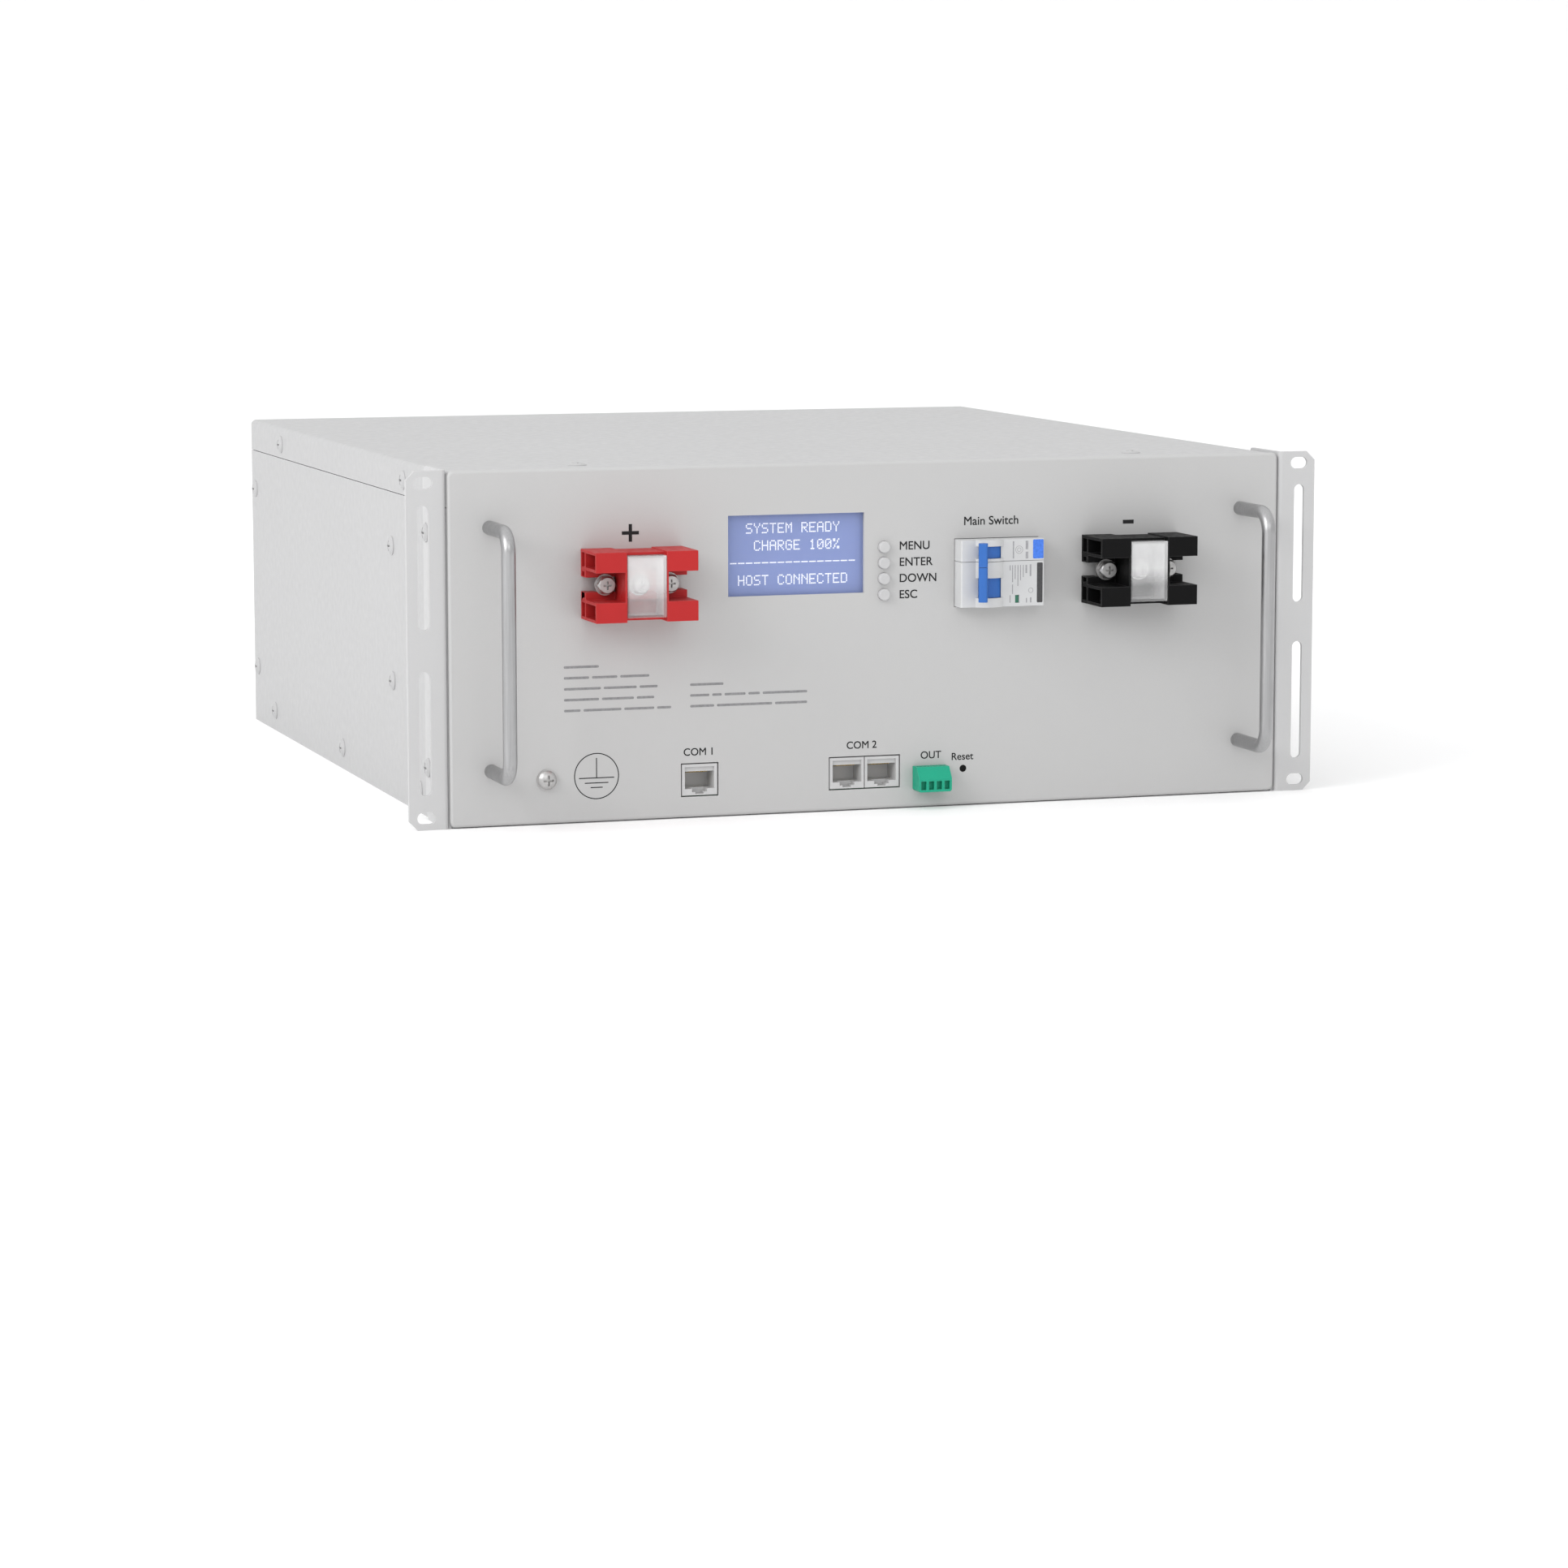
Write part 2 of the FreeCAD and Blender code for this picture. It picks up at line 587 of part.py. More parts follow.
def panel_cutouts():
    """Everything cut through the front panel."""
    through = (-PAST, PANEL_THICK + PAST)
    tools = [block(DISPLAY_X, DISPLAY_Z, DISPLAY_WIDTH, DISPLAY_HEIGHT, *through)]
    for place in range(len(BUTTONS)):
        tools.append(rod_y(BUTTON_X, button_z(place), BUTTON_RADIUS + BUTTON_CLEARANCE, *through))
    switch_height = SWITCH_HEIGHT + MODULE_SEAM + AUX_HEIGHT
    switch_z = SWITCH_LOW_Z + switch_height / 2
    nose_width = NOSE_LENGTH + 2 * CUTOUT_GAP
    tools.append(block(SWITCH_X, switch_z, nose_width, switch_height + 2 * CUTOUT_GAP, *through))
    for x, width in ((SINGLE_JACK_X, JACK_WIDTH), (PAIR_JACK_X, 2 * JACK_WIDTH)):
        tools.append(block(x, JACK_Z, width + 2 * JACK_GAP, JACK_HEIGHT + 2 * JACK_GAP, *through))
    tongue_z = sum(TONGUE_Z) / 2
    tongue_height = TONGUE_Z[1] - TONGUE_Z[0] + 2 * CUTOUT_GAP
    tools.append(block(PLUG_X, tongue_z, TONGUE_WIDTH + 2 * CUTOUT_GAP, tongue_height, *through))
    tools.append(rod_y(RESET_X, RESET_Z, RESET_RADIUS + BUTTON_CLEARANCE, *through))
    tools.append(rod_y(GROUND_X, GROUND_Z, GROUND_SHANK_RADIUS + THREAD_CLEARANCE, *through))
    for x in TERMINAL_X:
        width = TANG_WIDTH + 2 * TANG_CLEAR
        tools.append(block(x, TERMINAL_Z, width, BUSBAR_HEIGHT + 2 * BUSBAR_CLEAR, *through))
    for x, z in rear_screw_places():
        tools.append(rod_y(x, z, HANDLE_SCREW_RADIUS + HOLE_CLEARANCE, *through))
    return tools


def front_panel():
    half = HALF - PANEL_SIDE_GAP
    top = BODY_HEIGHT + PANEL_LIFT
    face = box(-half, half, 0, PANEL_THICK, PANEL_LIFT, top)
    corners = edges_where(face, lambda p: near(abs(p.x), half))
    face = face.makeFillet(PANEL_CORNER_RADIUS, [e for e in corners if near(e.Length, PANEL_THICK)])
    rim = [e for e in face.Edges if near(e.BoundBox.YMax, 0)]
    face = face.makeFillet(PANEL_EDGE_RADIUS, rim)
    over = COVER_UNDER - FIT
    side_low = TRAY_FLANGE + FLANGE_CLEAR
    side_high = LIP_LOW + RETURN_RISE
    joined = PANEL_THICK - WELD_DEPTH
    reach = NEST - RETURN_INSET
    returns = [box(-reach, reach, joined, RETURN_DEPTH, over - SHEET, over)]
    returns.append(box(-reach, reach, joined, TRAY_FLANGE, SHEET + FIT, 2 * SHEET + FIT))
    returns += upright_pair(NEST, SHEET, joined, RETURN_DEPTH, side_low, side_high)
    return cut(fuse([face] + returns), panel_cutouts() + side_holes() + top_holes())


def bulkhead():
    rear = BAY_DEPTH + BULKHEAD_FLANGE
    top = BULKHEAD_SCREW_Z[1] + BULKHEAD_SCREW_MARGIN
    plate = box(-NEST, NEST, BAY_DEPTH, BAY_DEPTH + SHEET, SHEET + FIT, BULKHEAD_HEIGHT)
    wall = fuse([plate] + upright_pair(NEST, SHEET, BAY_DEPTH, rear, SHEET + FIT, top))
    notches = upright_pair(NEST, 2 * SHEET, BAY_DEPTH - PAST, rear, 0, TRAY_FLANGE + PAST)
    notches += upright_pair(NEST, 2 * SHEET, BAY_DEPTH - PAST, rear, LIP_LOW - PAST, BODY_HEIGHT)
    return cut(wall, notches + side_holes())


# ---------------------------------------------------------------- ears and handles
def right_ear():
    inner = HALF + EAR_GAP
    face = box(inner, EAR_EDGE, 0, EAR_THICK, 0, UNIT_HEIGHT)
    flange = box(inner, inner + EAR_THICK, 0, EAR_FLANGE, 0, UNIT_HEIGHT)
    ear = fuse([face, flange])
    outer_corners = edges_where(ear, lambda p: near(p.x, EAR_EDGE))
    ear = ear.makeChamfer(EAR_CHAMFER, [e for e in outer_corners if near(e.Length, EAR_THICK)])
    rear_corners = edges_where(ear, lambda p: near(p.y, EAR_FLANGE))
    ear = ear.makeChamfer(EAR_CHAMFER, [e for e in rear_corners if near(e.Length, EAR_THICK)])
    ear = ear.makeFillet(EAR_BEND, edges_where(ear, lambda p: near(p.x, inner) and near(p.y, 0)))
    middle = UNIT_HEIGHT / 2
    slots = []
    for side in (-1, 1):
        slot_z = middle + side * RACK_SLOT_SPACING / 2
        slots.append(slot_y(EAR_EDGE - RACK_SLOT_INSET, slot_z, RACK_SLOT_LENGTH, RACK_SLOT_WIDTH,
                            -PAST, EAR_THICK + PAST))
        long_z = middle + side * LONG_SLOT_SPACING / 2
        slots.append(slot_y(EAR_EDGE - LONG_SLOT_INSET, long_z, LONG_SLOT_LENGTH, LONG_SLOT_WIDTH,
                            -PAST, EAR_THICK + PAST, upright=True))
    return cut(ear, slots + side_holes())


def right_handle():
    low = HANDLE_LOW_Z
    high = HANDLE_LOW_Z + HANDLE_PITCH
    route = [(HANDLE_X, 0, low), (HANDLE_X, -HANDLE_REACH, low),
             (HANDLE_X, -HANDLE_REACH, high), (HANDLE_X, 0, high)]
    bar = tube(route, HANDLE_RADIUS, HANDLE_BEND)
    bores = [rod_y(HANDLE_X, z, HANDLE_SCREW_RADIUS + THREAD_CLEARANCE, -HANDLE_SCREW_DEPTH - PAST, PAST)
             for z in (low, high)]
    return cut(bar, bores)


def rear_screw_places():
    """(x, z) of the screws driven from inside: two per handle, two per terminal block."""
    places = []
    for side in (-1, 1):
        places += [(side * HANDLE_X, HANDLE_LOW_Z), (side * HANDLE_X, HANDLE_LOW_Z + HANDLE_PITCH)]
    for x in TERMINAL_X:
        arm = BLOCK_HEIGHT / 2 - ARM_HEIGHT / 2
        places += [(x - MOUNT_SCREW_X, TERMINAL_Z + arm), (x + MOUNT_SCREW_X, TERMINAL_Z - arm)]
    return places


def rear_screws():
    length = HANDLE_SCREW_DEPTH + PANEL_THICK
    screws = []
    for x, z in rear_screw_places():
        in_block = any(abs(x - t) < BLOCK_WIDTH / 2 for t in TERMINAL_X)
        reach = PANEL_THICK + BLOCK_BASE - MOUNT_SCREW_SKIN - FIT if in_block else length
        screw = dome_screw(REAR_HEAD_RADIUS, REAR_HEAD_HEIGHT, HANDLE_SCREW_RADIUS, reach)
        screws.append(placed(screw, (x, PANEL_THICK, z), (0, 1, 0)))
    return group(screws)


def case_screws():
    """Painted dome-head screws on both sides, the ears and the cover's front edge."""
    screw = dome_screw(CASE_HEAD_RADIUS, SIDE_HEAD_HEIGHT, CASE_SHANK_RADIUS, CASE_SHANK_LENGTH)
    top_screw = dome_screw(CASE_HEAD_RADIUS, TOP_HEAD_HEIGHT, CASE_SHANK_RADIUS, CASE_SHANK_LENGTH)
    ear_face = HALF + EAR_GAP + EAR_THICK
    screws = []
    for side in (-1, 1):
        screws += [placed(screw, (side * HALF, y, z), (side, 0, 0)) for y, z in side_screw_places()]
        screws += [placed(screw, (side * ear_face, y, z), (side, 0, 0)) for y, z in ear_screw_places()]
    screws += [placed(top_screw, (x, TOP_SCREW_Y, BODY_HEIGHT), (0, 0, 1)) for x in TOP_SCREW_X]
    return group(screws)


def ground_screw():
    """Earth screw with its toothed washer modelled as a plain ring."""
    length = GROUND_WASHER_THICK + PANEL_THICK + GROUND_SCREW_PAST
    screw = dome_screw(GROUND_HEAD_RADIUS, GROUND_HEAD_HEIGHT, GROUND_SHANK_RADIUS, length)
    screw = placed(screw, (GROUND_X, -GROUND_WASHER_THICK, GROUND_Z), (0, -1, 0))
    ring = rod_y(GROUND_X, GROUND_Z, GROUND_WASHER_RADIUS, -GROUND_WASHER_THICK, 0)
    bore = GROUND_SHANK_RADIUS + THREAD_CLEARANCE
    hole = rod_y(GROUND_X, GROUND_Z, bore, -GROUND_WASHER_THICK - PAST, PAST)
    return group([screw, ring.cut(hole)])


# ---------------------------------------------------------------- terminals
def terminal_end_pockets(x, across, up):
    """Pockets moulded into one corner of the block's base layer, open at the block's end."""
    end_x = x + across * BLOCK_WIDTH / 2
    arm_z = TERMINAL_Z + up * (BLOCK_HEIGHT - ARM_HEIGHT) / 2
    ledge_z = TERMINAL_Z + up * (BLOCK_HEIGHT / 2 - ARM_HEIGHT - LEDGE_POCKET_DROP)
    return [block(end_x, arm_z, 2 * END_HOLLOW_LENGTH, ARM_HEIGHT - 2 * BLOCK_WALL, *END_HOLLOW_Y),
            block(end_x, ledge_z, 2 * LEDGE_POCKET_LENGTH, LEDGE_POCKET_HEIGHT, *LEDGE_POCKET_Y)]


def terminal_arm(x, across, up):
    """One of the four arms, and the hollow that opens at its end."""
    bay = BAY_WIDTH / 2
    length = BLOCK_WIDTH / 2 - bay
    arm_x = x + across * (bay + length / 2)
    arm_z = TERMINAL_Z + up * (BLOCK_HEIGHT - ARM_HEIGHT) / 2
    solid = block(arm_x, arm_z, length, ARM_HEIGHT, -BLOCK_REACH, -BLOCK_BASE)
    hollow = block(arm_x + across * BLOCK_WALL, arm_z, length, ARM_HEIGHT - 2 * BLOCK_WALL,
                   -BLOCK_REACH + BLOCK_WALL, -BLOCK_BASE - FIT)
    return solid, hollow


def terminal_block(x):
    bay = BAY_WIDTH / 2
    end = BLOCK_WIDTH / 2
    body = [block(x, TERMINAL_Z, BLOCK_WIDTH, BLOCK_HEIGHT, -BLOCK_BASE, 0)]
    hollows = []
    for across in (-1, 1):
        for up in (-1, 1):
            solid, hollow = terminal_arm(x, across, up)
            body.append(solid)
            hollows.append(hollow)
            hollows += terminal_end_pockets(x, across, up)
        wall_x = x + across * (bay + BAY_WALL / 2)
        wall_height = BLOCK_HEIGHT - 2 * WALL_INSET
        body.append(block(wall_x, TERMINAL_Z, BAY_WALL, wall_height, -BLOCK_REACH, -BLOCK_BASE))
        slot_x = x + across * (bay + end + PAST) / 2
        hollows.append(block(slot_x, TERMINAL_Z, end - bay + PAST, END_SLOT, -BLOCK_BASE, PAST))
    for up in (-1, 1):
        web_z = TERMINAL_Z + up * (BLOCK_HEIGHT / 2 - WEB_RECESS - WEB_THICK / 2)
        body.append(block(x, web_z, BAY_WIDTH, WEB_THICK, -WEB_REACH, -BLOCK_BASE))
        trim_z = TERMINAL_Z + up * BLOCK_HEIGHT / 2
        hollows.append(block(x, trim_z, BAY_WIDTH, 2 * WEB_RECESS, -BLOCK_BASE, PAST))
    body.append(block(x, TERMINAL_Z, BAY_WIDTH, BLOCK_HEIGHT - 2 * ARM_HEIGHT, -PEDESTAL_REACH, -BLOCK_BASE))
    hollows.append(block(x, TERMINAL_Z, BUSBAR_LENGTH + 2 * BUSBAR_FIT, BUSBAR_HEIGHT + 2 * BUSBAR_FIT,
                         -BUSBAR_FRONT - FIT, PAST))
    hollows.append(rod_y(x, TERMINAL_Z, BOLT_RADIUS + HOLE_CLEARANCE, -BLOCK_REACH, PAST))
    hollows += [rod_y(sx, sz, HANDLE_SCREW_RADIUS + THREAD_CLEARANCE, -BLOCK_BASE + MOUNT_SCREW_SKIN, PAST)
                for sx, sz in rear_screw_places() if abs(sx - x) < end]
    return cut(fuse(body), hollows)


def bolt_places():
    """(x, y of the seat) of the six terminal bolts."""
    places = []
    for x in TERMINAL_X:
        places += [(x - BOLT_PITCH, -BLOCK_BASE), (x, -PEDESTAL_REACH), (x + BOLT_PITCH, -BLOCK_BASE)]
    return places


def busbar(x):
    """Copper bar behind the bolts, with a tang through the panel."""
    back = -BUSBAR_FRONT + BUSBAR_THICK
    bar = block(x, TERMINAL_Z, BUSBAR_LENGTH, BUSBAR_HEIGHT, -BUSBAR_FRONT, back)
    low = TERMINAL_Z - BUSBAR_HEIGHT / 2
    tang = box(x - TANG_WIDTH / 2, x + TANG_WIDTH / 2, -BUSBAR_FRONT, TANG_BACK, low, low + BUSBAR_THICK)
    holes = [rod_y(bx, TERMINAL_Z, BOLT_RADIUS + THREAD_CLEARANCE, -BUSBAR_FRONT - PAST, back + PAST)
             for bx, _ in bolt_places() if abs(bx - x) < BLOCK_WIDTH / 2]
    return cut(fuse([bar, tang]), holes)


def terminal_bolt():
    """Hexagon head with a cross recess, head above z=0."""
    corner = BOLT_HEAD_FLATS / math.sqrt(3)
    points = [V(corner * math.cos(math.radians(a)), corner * math.sin(math.radians(a)), 0)
              for a in range(0, 361, 60)]
    hexagon = Part.Face(Part.makePolygon(points)).extrude(V(0, 0, BOLT_HEAD_HEIGHT))
    crown = Part.makeCone(corner + BOLT_CORNER_TRIM, corner - BOLT_CORNER_TRIM, BOLT_HEAD_HEIGHT)
    head = hexagon.common(crown)
    return head.cut(cross_recess(BOLT_HEAD_FLATS * 0.45, BOLT_HEAD_HEIGHT, BOLT_RECESS_DEPTH))


def terminal_bolts():
    bolts = []
    stack = WASHER_THICK + SPRING_WASHER_THICK
    tip = -BUSBAR_FRONT + BUSBAR_THICK + BOLT_PAST
    for x, seat in bolt_places():
        head = placed(terminal_bolt(), (x, seat - stack, TERMINAL_Z), (0, -1, 0))
        shank = rod_y(x, TERMINAL_Z, BOLT_RADIUS, seat - stack - WELD_DEPTH, tip)
        bolts.append(fuse([head, shank]))
    return group(bolts)


def terminal_washers():
    """Flat and split spring washer under each bolt head."""
    rings = []
    for x, seat in bolt_places():
        hole = rod_y(x, TERMINAL_Z, BOLT_RADIUS + HOLE_CLEARANCE, seat - BLOCK_BASE, seat + PAST)
        flat = rod_y(x, TERMINAL_Z, WASHER_RADIUS, seat - WASHER_THICK, seat)
        outer = seat - WASHER_THICK
        spring = rod_y(x, TERMINAL_Z, SPRING_WASHER_RADIUS, outer - SPRING_WASHER_THICK, outer)
        split = block(x + SPRING_WASHER_RADIUS, TERMINAL_Z, SPRING_WASHER_RADIUS, WASHER_SPLIT,
                      outer - SPRING_WASHER_THICK - PAST, outer)
        rings += [flat.cut(hole), spring.cut([hole, split])]
    return group(rings)


def terminal_cover(x):
    """Clear cap over the central bay, open at the back."""
    width = BAY_WIDTH - 2 * COVER_FIT
    height = BLOCK_HEIGHT - 2 * (WEB_RECESS + WEB_THICK) - COVER_FIT
    back = -PEDESTAL_REACH - COVER_FIT
    shell = block(x, TERMINAL_Z, width, height, -BLOCK_REACH, back)
    rim = [e for e in shell.Edges if near(e.BoundBox.YMax, -BLOCK_REACH)]
    shell = shell.makeFillet(CAP_EDGE_RADIUS, rim)
    hollow = block(x, TERMINAL_Z, width - 2 * COVER_WALL, height - 2 * COVER_WALL,
                   -BLOCK_REACH + COVER_WALL, back + PAST)
    return shell.cut(hollow)


# ---------------------------------------------------------------- display and buttons
def display_window():
    front = PANEL_THICK
    return block(DISPLAY_X, DISPLAY_Z, DISPLAY_WIDTH + 2 * WINDOW_BORDER, DISPLAY_HEIGHT + WINDOW_BORDER,
                 front, front + WINDOW_THICK)


def display_module():
    front = PANEL_THICK + WINDOW_THICK + MODULE_GAP
    width = DISPLAY_WIDTH + 2 * MODULE_BORDER
    frame = block(DISPLAY_X, DISPLAY_Z, width, DISPLAY_HEIGHT + WINDOW_BORDER, front, front + MODULE_THICK)
    recess = block(DISPLAY_X, DISPLAY_Z, DISPLAY_WIDTH + MODULE_BORDER, DISPLAY_HEIGHT + MODULE_BORDER,
                   front - PAST, front + FACE_DEPTH)
    return frame.cut(recess)


def button_z(place):
    return BUTTON_TOP_Z - place * BUTTON_PITCH


def board_front():
    return PANEL_THICK + WINDOW_THICK + MODULE_GAP + MODULE_THICK + FIT


def display_board():
    """Board behind the display, with one small switch per button."""
    front = board_front()
    low_x = DISPLAY_X - DISPLAY_WIDTH / 2 - BOARD_MARGIN
    high_x = BUTTON_X + KEY_SWITCH_SIZE / 2 + BOARD_MARGIN
    low_z = DISPLAY_Z - DISPLAY_HEIGHT / 2 - BOARD_MARGIN
    high_z = DISPLAY_Z + DISPLAY_HEIGHT / 2 + BOARD_MARGIN
    board = box(low_x, high_x, front, front + BOARD_THICK, low_z, high_z)
    size = KEY_SWITCH_SIZE
    switches = [block(BUTTON_X, button_z(place), size, size, front - KEY_SWITCH_HEIGHT, front)
                for place in range(len(BUTTONS))]
    return fuse([board] + switches)


def button(place):
    z = button_z(place)
    flange_y = PANEL_THICK + FIT
    cap = rod_y(BUTTON_X, z, BUTTON_RADIUS, -BUTTON_REACH, flange_y)
    rim = [e for e in cap.Edges if near(e.BoundBox.YMax, -BUTTON_REACH)]
    cap = cap.makeFillet(BUTTON_EDGE_RADIUS, rim)
    flange = rod_y(BUTTON_X, z, BUTTON_RADIUS + BUTTON_FLANGE, flange_y, flange_y + BUTTON_FLANGE_THICK)
    stem_end = board_front() - KEY_SWITCH_HEIGHT - BUTTON_TRAVEL - FIT
    stem = rod_y(BUTTON_X, z, STEM_RADIUS, flange_y, stem_end)
    return fuse([cap, flange, stem])


# ---------------------------------------------------------------- main switch
def main_module():
    """(low, high) of the main module."""
    return SWITCH_LOW_Z, SWITCH_LOW_Z + SWITCH_HEIGHT


def aux_module():
    """(low, high) of the auxiliary module on top of it."""
    low = SWITCH_LOW_Z + SWITCH_HEIGHT + MODULE_SEAM
    return low, low + AUX_HEIGHT


def wire_ports(low, high):
    """Round openings for the power cables in a module's two ends."""
    y = SWITCH_BACK - WIRE_PORT_INSET
    radius = WIRE_PORT_SHARE * (high - low)
    ends = [SWITCH_X + side * SWITCH_LENGTH / 2 for side in (-1, 1)]
    return [rod_x(y, (low + high) / 2, radius, x - WIRE_PORT_DEPTH, x + WIRE_PORT_DEPTH) for x in ends]


def switch_housing(module, drum):
    """Housing of one module, with round cheeks either side of its lever drum."""
    low, high = module
    nose = box(SWITCH_X - NOSE_LENGTH / 2, SWITCH_X + NOSE_LENGTH / 2, -NOSE_REACH, SHOULDER_Y, low, high)
    front_edges = edges_where(nose, lambda p: near(p.y, -NOSE_REACH))
    nose = nose.makeFillet(NOSE_EDGE_RADIUS, [e for e in front_edges if near(e.Length, high - low)])
    half = SWITCH_LENGTH / 2
    body = box(SWITCH_X - half, SWITCH_X + half, SHOULDER_Y, SWITCH_BACK, low, high)
    left = PIVOT_X - CHEEK_RADIUS
    right = PIVOT_X + CHEEK_RADIUS
    cheek = rod_z(PIVOT_X, PIVOT_Y, CHEEK_RADIUS, low, high)
    cheek = cheek.common(box(left, right, PIVOT_Y - CHEEK_RADIUS, 0, low, high))
    well_low = drum[0] - FIT
    well_high = drum[1] + FIT
    drum_well = rod_z(PIVOT_X, PIVOT_Y, DRUM_RADIUS + DRUM_CLEARANCE, well_low, well_high)
    drum_gap = box(left, right, -2 * NOSE_REACH, -NOSE_REACH, well_low, well_high)
    pin_hole = rod_z(PIVOT_X, PIVOT_Y, PIN_RADIUS + PIN_FIT / 2, low + PIN_HOLE_INSET, high - PIN_HOLE_INSET)
    return cut(fuse([nose, body, cheek]), [drum_well, drum_gap, pin_hole] + wire_ports(low, high))


def flag_ends():
    """(left, right) of the indicator flag at rest."""
    left = FLAG_X - FLAG_LAP
    return left, left + 2 * FLAG_TRAVEL


def main_switch_housing():
    housing = switch_housing(main_module(), MAIN_DRUM_Z)
    run_y = -NOSE_REACH + FLAG_WALL
    window = box(FLAG_X, FLAG_X + FLAG_WIDTH, -NOSE_REACH - PAST, run_y, *FLAG_Z)
    left, right = flag_ends()
    run = box(left - FLAG_TRAVEL - FLAG_END_GAP, right + FLAG_END_GAP, run_y, run_y + FLAG_THICK + 2 * FIT,
              FLAG_Z[0] - FLAG_RUN_GAP, FLAG_Z[1] + FLAG_RUN_GAP)
    return cut(housing, [window, run])


def aux_switch_housing():
    return switch_housing(aux_module(), AUX_DRUM_Z)


def lever(drum, bar):
    """Drum, shank and finger bar of one lever, leaning left by the rest angle."""
    hub = rod_z(PIVOT_X, PIVOT_Y, DRUM_RADIUS, *drum)
    grip_y = PIVOT_Y - LEVER_RADIUS
    shank_half = LEVER_SHANK / 2
    shank = box(PIVOT_X - shank_half, PIVOT_X + shank_half, grip_y, PIVOT_Y - DRUM_RADIUS + SHANK_ROOT,
                drum[0] + SHANK_GAP, drum[1] - SHANK_GAP)
    grip_half = LEVER_WIDTH / 2
    grip = box(PIVOT_X - grip_half, PIVOT_X + grip_half, grip_y + GRIP_Y[0], grip_y + GRIP_Y[1], *bar)
    long_edges = [e for e in grip.Edges if near(e.Length, bar[1] - bar[0])]
    grip = grip.makeFillet(GRIP_EDGE_RADIUS, long_edges)
    bore = rod_z(PIVOT_X, PIVOT_Y, PIN_RADIUS + PIN_FIT, drum[0] - PAST, drum[1] + PAST)
    body = cut(fuse([hub, shank, grip]), [bore])
    body.rotate(V(PIVOT_X, PIVOT_Y, 0), V(0, 0, 1), -LEVER_REST)
    return body


def lever_pins():
    inset = PIN_HOLE_INSET + PIN_END_GAP
    return group([rod_z(PIVOT_X, PIVOT_Y, PIN_RADIUS, low + inset, high - inset)
                  for low, high in (main_module(), aux_module())])


def contact_flag():
    """Two-colour slider behind the indicator window."""
    front = -NOSE_REACH + FLAG_WALL + FIT
    left, right = flag_ends()
    return box(left, right, front, front + FLAG_THICK, *FLAG_Z)


def rail_span():
    """(low, high) of the mounting rail and its bracket's top."""
    return SWITCH_LOW_Z - RAIL_OVERHANG, aux_module()[1] + RAIL_OVERHANG


def din_rail():
    """Top-hat rail standing behind the switch modules."""
    low, high = rail_span()
    front = SWITCH_BACK + FIT
    back = front + RAIL_DEPTH
    outer = RAIL_WIDTH / 2
    inner = outer - RAIL_LIP + RAIL_SHEET
    pieces = [box(SWITCH_X - inner, SWITCH_X + inner, back - RAIL_SHEET, back, low, high)]
    for side in (-1, 1):
        edge, bend, web = (SWITCH_X + side * reach for reach in (outer, inner, inner - RAIL_SHEET))
        pieces.append(box(min(edge, web), max(edge, web), front, front + RAIL_SHEET, low, high))
        pieces.append(box(min(bend, web), max(bend, web), front, back, low, high))
    return fuse(pieces)


def switch_bracket():
    """Upright that carries the rail, standing on the tray."""
    y = SWITCH_BACK + FIT + RAIL_DEPTH
    left = SWITCH_X - BRACKET_HALF
    right = SWITCH_X + BRACKET_HALF
    upright = box(left, right, y, y + SHEET, SHEET, rail_span()[1])
    foot = box(left, right, y, y + BRACKET_FOOT, SHEET, 2 * SHEET)
    return fuse([upright, foot])


# ---------------------------------------------------------------- connectors
def port_roof():
    return JACK_Z + JACK_HEIGHT / 2 - PORT_TOP_WALL


def port_hollow(x):
    """Socket with a contact comb under its roof and a stepped latch notch in its floor."""
    top = port_roof()
    floor = top - PORT_HEIGHT
    front = JACK_RECESS - PAST
    back = JACK_RECESS + PORT_DEPTH
    half = PORT_WIDTH / 2
    hollows = [box(x - half, x + half, front, back, floor, top)]
    hollows += [block(x, floor - drop / 2, width, drop, front, JACK_RECESS + LATCH_DEPTH)
                for width, drop in LATCH_STEPS]
    comb = box(x - half, x + half, JACK_RECESS + COMB_RECESS, back, top - COMB_HEIGHT, top)
    return fuse(hollows).cut(comb)


def jack(x):
    body = block(x, JACK_Z, JACK_WIDTH, JACK_HEIGHT, JACK_RECESS, JACK_RECESS + JACK_DEPTH)
    return body.cut(port_hollow(x))


def pair_ports():
    return (PAIR_JACK_X - JACK_WIDTH / 2, PAIR_JACK_X + JACK_WIDTH / 2)


def jack_pair():
    """Two sockets in one moulding, with the parting groove between them."""
    body = fuse([jack(x) for x in pair_ports()])
    front = JACK_RECESS - PAST
    groove = block(PAIR_JACK_X, JACK_Z, PAIR_GROOVE, JACK_HEIGHT, front, JACK_RECESS + COMB_RECESS)
    return body.cut(groove)


def jack_contacts():
    """Eight sprung wires in each socket, sloping down behind the comb."""
    wire = box(-CONTACT_WIDTH / 2, CONTACT_WIDTH / 2, 0, CONTACT_LENGTH, -CONTACT_THICK, 0)
    wire.rotate(V(0, 0, 0), V(1, 0, 0), -CONTACT_SLOPE)
    top = port_roof() - COMB_HEIGHT - CONTACT_DROP
    wires = []
    for x in (SINGLE_JACK_X,) + pair_ports():
        for n in range(CONTACTS):
            one = wire.copy()
            one.translate(V(x + (n - (CONTACTS - 1) / 2) * CONTACT_PITCH, JACK_RECESS + CONTACT_START, top))
            wires.append(one)
    return group(wires)


